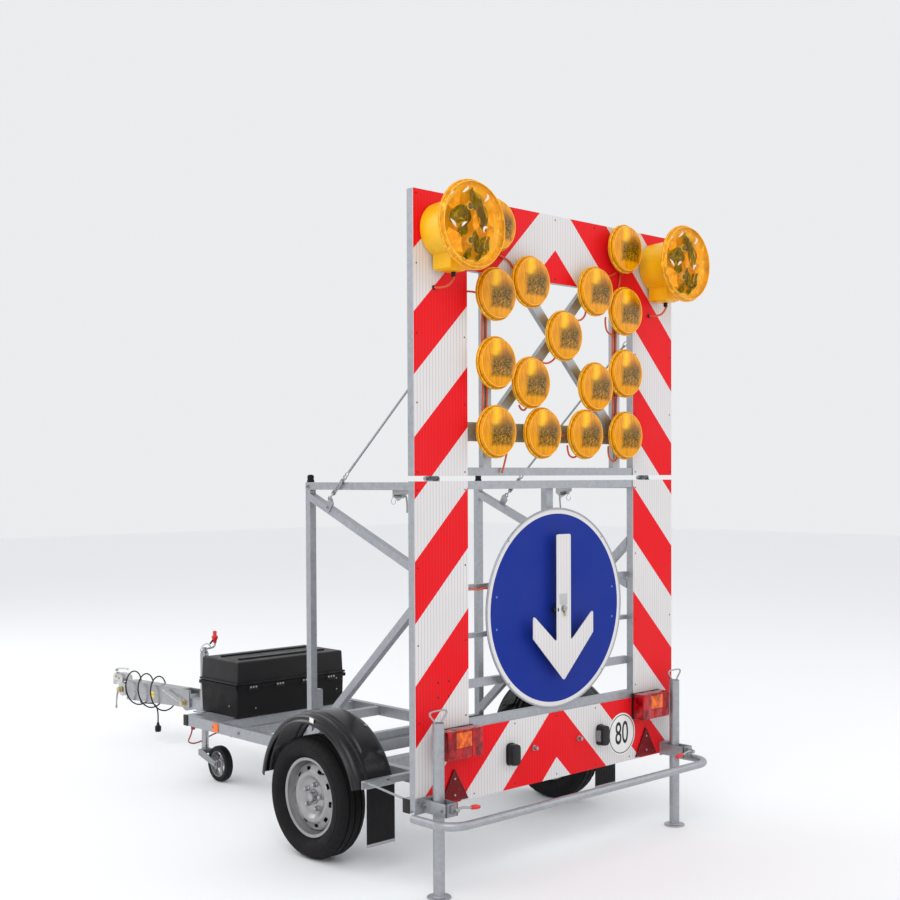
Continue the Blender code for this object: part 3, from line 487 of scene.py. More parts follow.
def make_looks():
    LOOKS.update(
        galvanised=galvanised(),
        dull_zinc=galvanised("dull_zinc", (0.3, 0.31, 0.33), 90.0, 0.1),
        bright_zinc=bright_zinc(),
        chrome=bright_zinc("chrome", (0.62, 0.62, 0.62)),
        yellow_zinc=yellow_zinc(),
        board=striped_sheet(),
        arrow=arrow_sheet(),
        sign=sign_sheet(Vector((0, SIGN_FACE_Y, SIGN_Z)), BLUE_RADIUS),
        black=plastic("black_plastic", (0.008, 0.008, 0.009), 0.36, Specular_IOR_Level=0.3),
        box=plastic("box_plastic", (0.006, 0.0055, 0.0065), 0.56, 700.0, 0.0005, Specular_IOR_Level=0.18),
        box_lid=plastic("lid_plastic", (0.007, 0.0065, 0.0075), 0.42, 700.0, 0.0005, Specular_IOR_Level=0.26),
        fender=plastic(
            "fender_plastic", (0.006, 0.0055, 0.007), 0.25, 900.0, 0.0001, Specular_IOR_Level=0.38,
        ),
        rubber=rubber(),
        flap=rubber("flap_rubber", (0.006, 0.006, 0.007), 0.55),
        wheel=painted_wheel(),
        amber=lamp_lens(),
        amber_dome=plastic(
            "amber_dome", (1.0, 0.46, 0.01), 0.06, 60.0, 0.0001, 0.05, Alpha=0.06, Specular_IOR_Level=0.35,
        ),
        # The bowl glows a little: a painted glow in place of light through the plastic.
        amber_bowl=glowing("amber_bowl", (0.9, 0.35, 0.004), 0.2),
        amber_edge=plastic("amber_edge", (1.0, 0.52, 0.05), 0.2, 500.0, 0.0001, 0.05),
        bulb=plastic("bulb", (0.02, 0.05, 0.006), 0.1, 300.0, 0.0001, 0.3),
        glint=plastic("glint", (0.92, 0.92, 0.9), 0.12, 300.0, 0.0001, 0.05),
        # The amber rims of the lamps glow a little too: a painted glow.
        amber_rim=glowing("amber_rim", (0.8, 0.32, 0.002), 0.06),
        olive_mirror=leaf_mirror(),
        tyre=rubber("tyre_rubber", (0.006, 0.0055, 0.0065), 0.7),
        label=plastic("grey_label", (0.46, 0.47, 0.46), 0.4, 800.0, 0.0001, 0.05),
        orange_reflector=plastic("orange_reflector", (1.0, 0.16, 0.005), 0.3, 420.0, 0.0005, 0.12),
        reflector=plastic("amber_reflector", (0.96, 0.5, 0.04), 0.22, 260.0, 0.0004, 0.2, Metallic=0.75),
        yellow=plastic("yellow_plastic", (0.92, 0.5, 0.004), 0.3),
        red_lens=mottled_lens("red_lens", (0.56, 0.003, 0.008), (0.15, 0.0, 0.003)),
        orange_lens=mottled_lens("orange_lens", (0.95, 0.17, 0.0), (0.42, 0.035, 0.0)),
        deep_red=plastic("deep_red", (0.1, 0.001, 0.004), 0.16, 260.0, 0.0006, 0.35),
        blue_rivet=plastic("blue_rivet", (0.05, 0.25, 0.55), 0.35),
        clear_lens=lens("clear_lens", (0.92, 0.93, 0.95), 0.8, 0.06),
        dark_red=plastic("dark_red", (0.17, 0.001, 0.005), 0.26, 420.0, 0.0006, 0.25, Specular_IOR_Level=0.2),
        red_grip=plastic("red_grip", (0.72, 0.02, 0.02), 0.34),
        grey=plastic("grey_plastic", (0.3, 0.31, 0.32), 0.45),
        white=plastic("white_label", (0.8, 0.8, 0.78), 0.4, 800.0, 0.0001, 0.04),
        yellow_label=plastic("yellow_label", (0.86, 0.66, 0.04), 0.42, 800.0, 0.0001, 0.06),
        cable=rubber("cable_sheath", (0.018, 0.018, 0.019), 0.46),
        orange_wire=plastic("orange_wire", (0.62, 0.085, 0.018), 0.4),
        red_wire=plastic("red_wire", (0.34, 0.02, 0.018), 0.4),
        rope=wire_look("wire_rope", (0.46, 0.47, 0.48)),
    )


# ---------------------------------------------------------------- shapes


def block(x, y, z, round_by=0.0015):
    """A box between the given limits, with rounded edges."""
    shape = bmesh.new()
    low = Vector((min(x), min(y), min(z)))
    high = Vector((max(x), max(y), max(z)))
    place = Matrix.Translation((low + high) / 2) @ Matrix.Diagonal((*(high - low), 1))
    bmesh.ops.create_cube(shape, size=1, matrix=place)
    return rounded(shape, min(round_by, min(high - low) * 0.4))


def rounded(shape, width):
    """The shape with every edge sharper than 30 degrees rounded off."""
    if width > 0:
        edges = [edge for edge in shape.edges if edge.calc_face_angle(0) > math.radians(30)]
        bmesh.ops.bevel(
            shape, geom=edges, offset=width, segments=2, profile=0.7, affect="EDGES", clamp_overlap=True,
        )
    return shape


def prism(outline, low, high, axis, round_by=0.0015):
    """An outline of two-axis points, in X, Y, Z order, extruded from low to high along the third axis."""
    places = {"X": lambda a, b: (low, a, b), "Y": lambda a, b: (a, low, b), "Z": lambda a, b: (a, b, low)}
    shape = bmesh.new()
    face = shape.faces.new([shape.verts.new(places[axis](a, b)) for a, b in outline])
    grown = bmesh.ops.extrude_face_region(shape, geom=[face])
    moved = [item for item in grown["geom"] if isinstance(item, bmesh.types.BMVert)]
    bmesh.ops.translate(shape, verts=moved, vec=AXES[axis] * (high - low))
    bmesh.ops.recalc_face_normals(shape, faces=shape.faces)
    return rounded(shape, min(round_by, abs(high - low) * 0.4))


def eased(outline, radius, steps=5):
    """An outline whose corners are rounded off."""
    points = []
    count = len(outline)
    for index, corner in enumerate(outline):
        here = Vector(corner)
        before, after = Vector(outline[index - 1]) - here, Vector(outline[(index + 1) % count]) - here
        half = before.angle(after) / 2
        reach = min(radius / math.tan(half), before.length * 0.45, after.length * 0.45)
        start, end = here + before.normalized() * reach, here + after.normalized() * reach
        for step in range(steps + 1):
            share = step / steps
            points.append(tuple(start.lerp(here, share).lerp(here.lerp(end, share), share)))
    return points


def turned(profile, centre=(0, 0, 0), axis="Z", steps=48):
    """A body turned about an axis through centre, from (radius, height) points."""
    shape = bmesh.new()
    rim = [shape.verts.new((radius, 0, height)) for radius, height in profile]
    pairs = list(zip(rim, rim[1:] + rim[:1]))
    edges = [shape.edges.new(pair) for pair in pairs if pair[0].co.x > 0 or pair[1].co.x > 0]
    bmesh.ops.spin(
        shape, geom=rim + edges, cent=(0, 0, 0), axis=(0, 0, 1), angle=math.tau, steps=steps, use_merge=True
    )
    bmesh.ops.remove_doubles(shape, verts=shape.verts, dist=1e-6)
    bmesh.ops.recalc_face_normals(shape, faces=shape.faces)
    shape.transform(Matrix.Translation(centre) @ AXIS_TURN[axis])
    return shape


def disc(radius, low, high, centre, axis, steps=40, round_by=0.0012):
    edge = min(round_by, radius * 0.4, abs(high - low) * 0.4)
    low, high = sorted((low, high))
    profile = [
        (0, low), (radius - edge, low), (radius - edge * 0.3, low + edge * 0.3), (radius, low + edge),
        (radius, high - edge), (radius - edge * 0.3, high - edge * 0.3), (radius - edge, high), (0, high),
    ]
    return turned(profile, centre, axis, steps)


def ring(inner, outer, low, high, centre, axis, steps=48):
    return turned([(inner, low), (outer, low), (outer, high), (inner, high)], centre, axis, steps)


def hexagon(across, low, high, centre, axis, turn=0.0):
    """A bolt head or nut with its corners chamfered."""
    radius = across / math.sqrt(3)
    shape = bmesh.new()
    corners = [math.tau * step / 6 + turn for step in range(6)]
    face = shape.faces.new(
        [shape.verts.new((radius * math.cos(a), radius * math.sin(a), low)) for a in corners]
    )
    grown = bmesh.ops.extrude_face_region(shape, geom=[face])
    moved = [item for item in grown["geom"] if isinstance(item, bmesh.types.BMVert)]
    bmesh.ops.translate(shape, verts=moved, vec=(0, 0, high - low))
    bmesh.ops.recalc_face_normals(shape, faces=shape.faces)
    rounded(shape, abs(high - low) * 0.12)
    shape.transform(Matrix.Translation(centre) @ AXIS_TURN[axis])
    return shape


def screw(centre, axis, radius, height):
    """A low domed screw or rivet head whose foot is at centre."""
    profile = [(0, 0), (radius, 0), (radius, height * 0.35), (radius * 0.7, height * 0.85), (0, height)]
    return turned([(r, -h) for r, h in profile], centre, axis, 12)


def bolt(centre, axis, across=0.013, height=0.007, towards=-1):
    """Washer, nut and thread end, standing on centre."""
    washer = disc(across * 0.85, 0, towards * 0.0016, centre, axis, 24, 0.0004)
    nut = hexagon(across, *sorted((towards * 0.0016, towards * height)), centre, axis, 0.3)
    thread = disc(across * 0.3, 0, towards * (height + 0.003), centre, axis, 16, 0.0006)
    return [washer, nut, thread]


def sweep(points, radius, steps=14, closed=False):
    """A round bar along the points. radius is a number, or one for each point."""
    points = [Vector(point) for point in points]
    sizes = list(radius) if hasattr(radius, "__len__") else [radius] * len(points)
    shape = bmesh.new()
    rings = []
    side = None
    count = len(points)
    for index, point in enumerate(points):
        before = points[index - 1] if closed or index else point
        after = points[(index + 1) % count] if closed or index < count - 1 else point
        along = (after - before).normalized()
        if side is None:
            side = along.orthogonal().normalized()
        else:
            side = (side - along * side.dot(along)).normalized()
        across = along.cross(side)
        turns = [math.tau * step / steps for step in range(steps)]
        rings.append(
            [
                shape.verts.new(point + sizes[index] * (math.cos(t) * side + math.sin(t) * across))
                for t in turns
            ]
        )
    for first, second in zip(rings, rings[1:] + (rings[:1] if closed else [])):
        for step in range(steps):
            following = (step + 1) % steps
            shape.faces.new((first[step], first[following], second[following], second[step]))
    if not closed:
        shape.faces.new(rings[0])
        shape.faces.new(rings[-1])
    bmesh.ops.recalc_face_normals(shape, faces=shape.faces)
    return shape


def on_circle(x, centre_y, centre_z, radius, turn):
    """A point on a circle round an axis along X."""
    return x, centre_y + radius * math.cos(turn), centre_z + radius * math.sin(turn)


def wire(route, smooth, radius, steps):
    """A round bar along a smooth curve through the route's points."""
    return sweep(smooth_path(route, smooth), radius, steps)


def arc(centre, radius, start, end, steps=12):
    """Points along an arc in a plane, with angles in degrees."""
    turns = [math.radians(start + (end - start) * step / steps) for step in range(steps + 1)]
    return [(centre[0] + radius * math.cos(turn), centre[1] + radius * math.sin(turn)) for turn in turns]


def smooth_path(route, steps=8):
    """A Catmull-Rom curve through the route's points."""
    points = [Vector(point) for point in route]
    points = [2 * points[0] - points[1]] + points + [2 * points[-1] - points[-2]]
    path = []
    for a, b, c, d in zip(points, points[1:], points[2:], points[3:]):
        for step in range(steps):
            t = step / steps
            path.append(
                0.5 * (
                    2 * b + (c - a) * t + (2 * a - 5 * b + 4 * c - d) * t**2 + (3 * b - a - 3 * c + d) * t**3
                )
            )
    return path + [points[-2]]


def coil(start, end, radius, wire, turns):
    """A helical spring between two points."""
    steps_per_turn = 14
    start, end = Vector(start), Vector(end)
    along = (end - start).normalized()
    side = along.orthogonal().normalized()
    across = along.cross(side)
    points = []
    for step in range(int(turns * steps_per_turn) + 1):
        angle = math.tau * step / steps_per_turn
        share = step / (turns * steps_per_turn)
        points.append(start.lerp(end, share) + radius * (math.cos(angle) * side + math.sin(angle) * across))
    return sweep(points, wire, 8)


def around(middle, half):
    """Limits that lie the same distance to both sides of a middle."""
    return middle - half, middle + half


def sided(profile, side):
    """A (radius, x) profile, mirrored for the left side."""
    return [(radius, side * x) for radius, x in profile]


def skin(shape, rows, closed=False):
    """Faces between following rows of points. Each row may close on itself."""
    for first, second in zip(rows, rows[1:]):
        ends = (first[:1], second[:1]) if closed else ([], [])
        for a, b, c, d in zip(first, first[1:] + ends[0], second[1:] + ends[1], second):
            shape.faces.new((a, b, c, d))


def side_pair(side, inner, outer):
    """Limits along X of something on one side, in rising order."""
    return tuple(sorted((side * inner, side * outer)))


# ---------------------------------------------------------------- pieces


def joined(shapes):
    whole = bmesh.new()
    holder = bpy.data.meshes.new("part")
    for shape in shapes:
        shape.to_mesh(holder)
        whole.from_mesh(holder)
        shape.free()
    bpy.data.meshes.remove(holder)
    return whole


def piece(name, body, look, shapes, replaces=(), levels=0):
    """One piece of the object: its shapes in one mesh, riding on a CAD body."""
    whole = joined(shapes)
    whole.transform(Matrix.Translation((0, FACE_Y, 0)))
    mesh = bpy.data.meshes.new(name)
    whole.to_mesh(mesh)
    whole.free()
    return mesh_piece(name, body, look, mesh, replaces, levels)


def mesh_piece(name, body, look, mesh, replaces=(), levels=0, move=(0, 0, 0)):
    """A piece from a mesh, which several pieces may share."""
    if not mesh.materials:
        mesh.materials.append(LOOKS[look])
    mesh.shade_smooth()
    mesh.set_sharp_from_angle(angle=SHARP)
    thing = bpy.data.objects.new(name, mesh)
    thing.location = move
    bpy.context.scene.collection.objects.link(thing)
    if levels:
        modifier = thing.modifiers.new("subdivide", "SUBSURF")
        modifier.levels = modifier.render_levels = levels
    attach(thing, body)
    if replaces:
        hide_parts(*replaces)
    return thing


def keep_node(name, look, bevel=0.0):
    """A CAD node that stays as it is, with a finished material and its edges eased."""
    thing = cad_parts[name]
    thing.data.materials.clear()
    thing.data.materials.append(LOOKS[look])
    if bevel:
        thing.data.shade_smooth()
        modifier = thing.modifiers.new("ease", "BEVEL")
        modifier.width = bevel
        modifier.segments = 2
        modifier.limit_method = "ANGLE"
        modifier.angle_limit = math.radians(40)
        modifier.harden_normals = True


# ---------------------------------------------------------------- connection cable

CABLE_RADIUS = 0.0045
CABLE_LOOPS = 3


def cable_route():
    """From the gland, round the beam in loose loops, back along its underside and down to the plug."""
    middle_z, half_x, half_z = 0.32, 0.078, 0.106
    route = [(0.0608, GLAND_Y, GLAND_Z), (0.072, GLAND_Y, GLAND_Z), (0.087, 3.221, GLAND_Z)]
    per_loop = 14
    start_y, pitch = 3.345, 0.158
    route += [(0.102, 3.24, 0.326), (0.096, 3.29, 0.306)]
    for step in range(1, CABLE_LOOPS * per_loop):
        turn = math.tau * step / per_loop
        y = start_y + pitch * turn / math.tau
        route.append((half_x * math.cos(turn), y, middle_z - half_z * math.sin(turn)))
    route += [(0.079, 3.815, 0.322), (0.072, 3.806, 0.266), (0.05, 3.776, 0.228), (0.02, 3.72, 0.222)]
    route += [(0.006, 3.66, 0.228), (0.0, 3.59, 0.236), (0.0, 3.525, 0.24), (0.0, 3.485, 0.222)]
    return route + [(0.0, PLUG_Y, 0.18), (0.0, PLUG_Y, 0.1285)]


def cable():
    path = [point + Vector((0, FACE_Y, 0)) for point in smooth_path(cable_route(), 6)]
    curve = bpy.data.curves.new("connection_cable_run", "CURVE")
    curve.dimensions = "3D"
    curve.bevel_depth = CABLE_RADIUS
    curve.bevel_resolution = 3
    curve.use_fill_caps = True
    spline = curve.splines.new("POLY")
    spline.points.add(len(path) - 1)
    for place, point in zip(spline.points, path):
        place.co = (*point, 1)
    curve.materials.append(LOOKS["cable"])
    cord = bpy.data.objects.new("connection_cable_run", curve)
    bpy.context.scene.collection.objects.link(cord)
    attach(cord, "drawbar")
    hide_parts("connection_cable")
    plug = cable_plug()


def cable_plug():
    """Round plug with grip ridges, a collar and a bend relief towards the cable."""
    profile = [(0, 0.066), (0.0175, 0.066), (0.0185, 0.068), (0.0185, 0.074), (0.0208, 0.076)]
    for ridge in range(4):
        z = 0.0785 + ridge * 0.0052
        profile += [(0.0208, z), (0.0196, z + 0.0012), (0.0196, z + 0.0026), (0.0208, z + 0.0038)]
    profile += [(0.02, 0.1005), (0.013, 0.106)]
    for ridge in range(4):
        z = 0.1075 + ridge * 0.0048
        size = 0.0118 - ridge * 0.0012
        profile += [
            (size, z), (size - 0.0014, z + 0.001), (size - 0.0014, z + 0.0028), (size - 0.0006, z + 0.004),
        ]
    profile += [(0.0062, 0.128), (0, 0.128)]
    plug = turned(profile, (0, PLUG_Y, 0), "Z", 32)
    return piece("cable_plug_body", "drawbar", "black", [plug], ["cable_plug"])


# ---------------------------------------------------------------- lamps

LAMP_RADIUS = 0.113


def lamp_meshes():
    """Bowl, clamp ring, reflector, bead and domed lens of an arrow lamp, round the origin."""
    radius = LAMP_RADIUS
    bowl = [
        (radius, -0.0485), (radius, -0.042), (radius - 0.003, -0.0395), (0.099, -0.028), (0.088, -0.019),
        (0.072, -0.0128), (0.05, -0.0106), (0.047, -0.008), (0.046, -0.0012), (0, -0.0012), (0, -0.018),
        (0.08, -0.023), (0.098, -0.035), (0.1065, -0.0485),
    ]
    edge = [
        (radius - 0.0012, -0.0522), (radius, -0.0512), (radius, -0.045), (radius - 0.0012, -0.044),
        (radius - 0.006, -0.045), (radius - 0.0068, -0.053), (radius - 0.0045, -0.055),
    ]
    dish = [(0.103, -0.048)]
    dish += [(r / 1000, -0.0275 - 0.0205 * (r / 100) ** 2) for r in range(95, 10, -12)]
    dish += [(0, -0.0275), (0, -0.0265), (0.1035, -0.047)]
    # The lens: a shallow dome, a bead, and a tapered wall down to the clamp ring.
    steps = 16
    outside = []
    for step in range(steps + 1):
        share = step / steps
        outside.append((0.099 * share, -0.075 + 0.0055 * share**2.2))
    outside += [(0.1025, -0.0665), (0.1045, -0.0615), (0.1062, -0.056)]
    inside = [(r - 0.0018 * min(r / 0.05, 1), y + 0.002) for r, y in reversed(outside)]
    # The bead is a raised ring whose pale amber paints the highlight along the lens's edge.
    bead = [
        (0.1004 + 0.0016 * math.cos(turn), -0.0694 + 0.0016 * math.sin(turn))
        for turn in spaced_turns(10)
    ]
    return {
        "bowl": (turned(bowl, axis="Y", steps=48), "yellow"),
        "ring": (turned(edge, axis="Y", steps=48), "amber_rim"),
        "dish": (turned(dish, axis="Y", steps=40), "reflector"),
        "bead": (turned(bead, axis="Y", steps=56), "amber_edge"),
        "lens": (turned(outside + inside, axis="Y", steps=56), "amber"),
    }


def arrow_lamps():
    meshes = {}
    for part, (shape, look) in lamp_meshes().items():
        meshes[part] = bpy.data.meshes.new(f"lamp_{part}")
        shape.to_mesh(meshes[part])
        shape.free()
        meshes[part].materials.append(LOOKS[look])
    for number in range(1, LAMP_COUNT + 1):
        node = f"arrow_lamp_{number:02d}"
        middle = node_middle(node)
        place = (middle.x, FACE_Y, middle.z)
        for part, mesh in meshes.items():
            replaces = [node] if part == "bowl" else ()
            mesh_piece(f"{node}_{part}", "upper_board", None, mesh, replaces, move=place)
        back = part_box(node)[1].y - FACE_Y
        if back > 0:
            stem = disc(0.0155, -0.001, min(back, 0.004), (middle.x, 0, middle.z), "Y", 32)
            piece(f"{node}_stem", "upper_board", "yellow", [stem])


def beacon_piece(name, part, look, shapes, replaces=()):
    piece(f"{name}_{part}", "upper_board", look, shapes, replaces)


def beacon(side):
    """Warning lamp: yellow drum and foot block, amber flange and dome, with its mirrors and bulbs inside."""
    name = f"warning_lamp_{SIDES[side]}"
    centre = Vector((node_middle(name).x, 0, BEACON_Z))
    radius = BEACON_RADIUS
    drum = [
        (0, -0.0008), (0.106, -0.0008), (0.113, -0.005), (0.115, -0.03), (0.1165, -0.09), (0.12, -0.14),
        (0.13, -0.165), (0.146, -0.176), (0.168, -0.1785), (0.168, -0.1825), (0.14, -0.181),
        (0.124, -0.16), (0.112, -0.12), (0, -0.11),
    ]
    flange = [
        (0.156, -0.1835), (radius - 0.002, -0.1835), (radius, -0.185), (radius, -0.1905),
        (radius - 0.002, -0.1925),
        (0.1735, -0.194), (0.172, -0.199), (0.1705, -0.207), (0.169, -0.2085), (0.1675, -0.206),
        (0.1675, -0.195), (0.156, -0.19),
    ]
    steps = 18
    outside = [(0.1672 * step / steps, -0.235 + 0.0275 * (step / steps) ** 2.4) for step in range(steps + 1)]
    inside = [(r, y + 0.002) for r, y in reversed(outside)]
    beacon_piece(name, "drum", "yellow", [turned(drum, centre, "Y", 64)], [name])
    beacon_piece(name, "flange", "amber_rim", [turned(flange, centre, "Y", 72)])
    beads = []
    for bead_radius, y in ((0.178, -0.1925), (0.169, -0.2088)):
        bead = [
            (bead_radius + 0.0014 * math.cos(turn), y + 0.0014 * math.sin(turn))
            for turn in spaced_turns(10)
        ]
        beads.append(turned(bead, centre, "Y", 72))
    beacon_piece(name, "beads", "amber_edge", beads)
    beacon_piece(name, "dome", "amber_dome", [turned(outside + inside, centre, "Y", 72)])
    x, _, z = centre
    foot = block(around(x, 0.0515), (-0.119, -0.0125), (z - 0.1655, z - 0.095), 0.006)
    base = block(around(x, 0.042), (-0.105, -0.024), (z - 0.17, z - 0.162), 0.003)
    beacon_piece(name, "foot", "yellow", [foot, base])
    mirrors(name, centre)


def mirrors(name, centre):
    """Orange bowl with hollow leaf mirrors set across it, bright glints on their tips, and two bulbs."""
    bowl = [
        (0, -0.128), (0.06, -0.132), (0.11, -0.15), (0.145, -0.179), (0.155, -0.19), (0.163, -0.19),
        (0.163, -0.188), (0.148, -0.176), (0.112, -0.146), (0.06, -0.129), (0, -0.125),
    ]
    beacon_piece(name, "bowl", "amber_bowl", [turned(bowl, centre, "Y", 56)])
    # Each leaf: its middle, half width, half length and lean.
    leaves = (
        (-0.066, 0.034, 0.034, 0.07, -1.05), (0.02, 0.1, 0.019, 0.052, 0.35),
        (0.062, 0.046, 0.03, 0.068, 0.25),
        (-0.046, -0.022, 0.024, 0.042, -0.6), (0.028, -0.064, 0.019, 0.05, 0.12),
        (0.068, -0.074, 0.03, 0.05, -0.7),
        (-0.02, -0.118, 0.014, 0.04, -0.7), (0.04, -0.126, 0.006, 0.042, -0.75),
        (-0.016, 0.028, 0.012, 0.042, -0.3),
    )
    dark = [
        petal(centre + Vector((x, -0.152, z)), half_x, half_z, turn)
        for x, z, half_x, half_z, turn in leaves
    ]
    beacon_piece(name, "mirrors", "olive_mirror", dark)
    pale = (
        (-0.09, 0.088, 0.03, 0.046, -0.7), (0.102, 0.06, 0.022, 0.06, 0.35),
        (-0.088, -0.07, 0.034, 0.058, 0.7),
        (0.108, -0.05, 0.026, 0.056, -0.3), (0.03, 0.02, 0.02, 0.044, 0.1),
    )
    light = [
        petal(centre + Vector((x, -0.148, z)), half_x, half_z, turn)
        for x, z, half_x, half_z, turn in pale
    ]
    beacon_piece(name, "shells", "amber_bowl", light)
    glints = (
        ((-0.026, 0.152), (-0.029, 0.14), (-0.043, 0.128), (-0.056, 0.119)),
        ((0.081, 0.133), (0.086, 0.119), (0.067, 0.099)),
        ((-0.122, 0.008), (-0.104, -0.006), (-0.09, -0.022)),
        ((-0.032, 0.006), (-0.048, -0.001), (-0.06, -0.015)),
        ((0.086, -0.002), (0.067, -0.004), (0.062, -0.024)), ((-0.103, 0.118), (-0.126, 0.102)),
    )
    strips = []
    for route in glints:
        path = smooth_path([centre + Vector((x, -0.194, z)) for x, z in route], 4)
        last = len(path) - 1
        sizes = [0.001 + 0.0046 * math.sin(math.pi * step / last) for step in range(last + 1)]
        strips.append(sweep(path, sizes, 10))
    beacon_piece(name, "glints", "glint", strips)
    bulbs, rings = [], []
    for z in (0.074, -0.062):
        place = centre + Vector((-0.006, 0, z))
        glass = []
        for step in range(11):
            turn = math.pi * step / 10
            glass.append((0.0125 * math.sin(turn), -0.184 - 0.015 * (1 - math.cos(turn)) / 2))
        bulbs.append(turned(glass, place, "Y", 24))
        collar = [(0.015 + 0.0024 * math.cos(t), -0.186 + 0.0024 * math.sin(t)) for t in spaced_turns(8)]
        rings.append(turned(collar, place, "Y", 28))
        rings.append(disc(0.012, -0.183, -0.13, place, "Y", 24))
    beacon_piece(name, "bulbs", "bulb", bulbs)
    beacon_piece(name, "sockets", "amber_edge", rings)


def petal(centre, half_x, half_z, turn):
    """A hollow leaf of mirror, deepest in its middle."""
    shape = bmesh.new()
    rows, columns = 10, 8
    grid = []
    for row in range(rows + 1):
        v = -1 + 2 * row / rows
        wide = math.sqrt(max(1 - v * v, 0)) ** 1.7
        line = []
        for column in range(columns + 1):
            u = -1 + 2 * column / columns
            x, z = half_x * u * wide, half_z * v
            depth = 0.03 * (1 - (u * wide) ** 2) * (1 - v * v)
            turned_x = x * math.cos(turn) - z * math.sin(turn)
            turned_z = x * math.sin(turn) + z * math.cos(turn)
            line.append(shape.verts.new((turned_x, depth - 0.04, turned_z)))
        grid.append(line)
    skin(shape, grid)
    bmesh.ops.remove_doubles(shape, verts=shape.verts, dist=1e-5)
    bmesh.ops.dissolve_degenerate(shape, edges=shape.edges, dist=1e-5)
    bmesh.ops.recalc_face_normals(shape, faces=shape.faces)
    bmesh.ops.solidify(shape, geom=shape.faces, thickness=0.0012)
    shape.transform(Matrix.Translation(centre))
    return shape


# ---------------------------------------------------------------- sign


def sign():
    """Aluminium disc with a beaded rim, its rivets and the two bars behind it."""
    radius = SIGN_RADIUS
    centre = (0, 0, SIGN_Z)
    face = [(0, SIGN_FACE_Y), (radius - 0.006, SIGN_FACE_Y), (radius - 0.006, -0.002), (0, -0.002)]
    piece("sign_face", "chassis", "sign", [turned(face, centre, "Y", 128)], ["sign_disc"])
    bead = [
        (radius - 0.0045 + 0.0045 * math.cos(a), -0.0025 + 0.0052 * math.sin(a))
        for a in spaced_turns(12)
    ]
    rivets = []
    for turn in spaced_turns(4, math.pi / 4):
        place = (0.4375 * math.cos(turn), SIGN_FACE_Y, SIGN_Z + 0.4375 * math.sin(turn))
        rivets.append(screw(place, "Y", 0.0042, 0.0022))
    blue = [
        screw((x, SIGN_FACE_Y, SIGN_Z + z), "Y", 0.005, 0.0016)
        for x in (-0.385, 0.385)
        for z in (-0.068, 0.072)
    ]
    piece("sign_face_rivets", "chassis", "blue_rivet", blue)
    bars = []
    for offset in (-0.19, 0.19):
        z = (SIGN_Z + offset - 0.019, SIGN_Z + offset + 0.019)
        bars.append(block((-0.3, 0.3), (-0.0016, 0.006), z))
        for x in (-0.27, 0.0, 0.27):
            bars.append(block(around(x, 0.02), (0.003, 0.0374), (z[0] + 0.006, z[1] - 0.006)))
    piece("sign_rim", "chassis", "galvanised", [turned(bead, centre, "Y", 128)] + rivets)
    piece("sign_bars", "chassis", "galvanised", bars)


def spaced_turns(count, start=0.0):
    return [start + math.tau * step / count for step in range(count)]


def arrow():
    """Turnable arrow plate, the wing bolt it turns on, and a blank label."""
    shaft, barb, top = 0.0465, 0.2, 0.332
    half = [(shaft, top), (shaft, -0.15), (barb, -0.018), (barb, -0.122), (0, -0.323)]
    outline = [(x, SIGN_Z + z) for x, z in half + [(-x, z) for x, z in reversed(half[:-1])]]
    plate = prism(eased(outline, 0.01), ARROW_Y - 0.002, ARROW_Y + 0.002, "Y", 0.0006)
    piece("arrow_plate", "sign_arrow", "arrow", [plate], ["sign_arrow"])
    centre = (0, 0, SIGN_Z)
    front = ARROW_Y - 0.002
    hub = [
        disc(0.0195, front - 0.002, front, centre, "Y", 36),
        disc(0.014, front - 0.0098, front - 0.002, centre, "Y", 36, 0.004),
        disc(0.02, ARROW_Y + 0.002, -0.0095, centre, "Y", 32),
    ]
    piece("arrow_bolt", "sign_arrow", "bright_zinc", hub)
    knob_centre = (0, ARROW_Y + 0.012, SIGN_Z - 0.004)
    knob = [
        disc(0.011, *side_pair(LEFT, shaft - 0.004, shaft + 0.012), knob_centre, "X", 24, 0.003),
        disc(0.0165, *side_pair(LEFT, shaft - 0.012, shaft - 0.004), knob_centre, "X", 24, 0.002),
    ]
    piece("arrow_spring_knob", "sign_arrow", "black", knob)
    lever = [
        (0.002, front - 0.007, SIGN_Z - 0.01), (0.001, front - 0.0075, SIGN_Z - 0.022),
        (0, front - 0.0065, SIGN_Z - 0.034),
    ]
    wings = [wire(lever, 4, 0.0046, 12)]
    piece("arrow_bolt_lever", "sign_arrow", "yellow_zinc", wings)
    label = [
        block((-0.03, 0.022), (front - 0.0008, front - 0.0001), (SIGN_Z + 0.018, SIGN_Z + 0.066), 0.0002)
    ]
    piece("arrow_label", "sign_arrow", "label", label)


# ---------------------------------------------------------------- boards


def boards():
    for board, parts in (("lower", ("left", "right", "bottom")), ("upper", ("left", "right", "top"))):
        for part in parts:
            keep_node(f"{board}_panel_{part}", "board")
    for name in ("lower_board_frame", "upper_board_frame", "mast_frame_left", "mast_frame_right"):
        keep_node(name, "galvanised", 0.0015)
    for name in ("chassis_frame", "axle_beam"):
        keep_node(name, "galvanised", 0.0018)
    board_screws()


def board_screws():
    """Countersunk screws along the edges of each panel."""
    head = (0.0036, 0.0016)
    upper, lower = [], []
    for side in SIDES:
        for x in (0.567, 0.834):
            for step in range(5):
                upper.append(screw((side * x, 0, 1.73 + step * 0.281), "Y", *head))
            for step in range(5):
                lower.append(screw((side * x, 0, 0.392 + step * 0.316), "Y", *head))
    for x in (-0.52, -0.27, 0.0, 0.27, 0.52):
        upper.append(screw((x, 0, 2.855), "Y", *head))
        upper.append(screw((x, 0, 2.592), "Y", *head))
        lower.append(screw((x, 0, 0.368), "Y", *head))
        lower.append(screw((x, 0, 0.632), "Y", *head))
    for x in (0.665, 0.725):
        for z in (0.8, 0.862):
            lower.append(screw((-x, 0, z), "Y", 0.0042, 0.002))
    piece("upper_screws", "upper_board", "black", upper)
    piece("lower_screws", "chassis", "black", lower)


# ---------------------------------------------------------------- rear lights


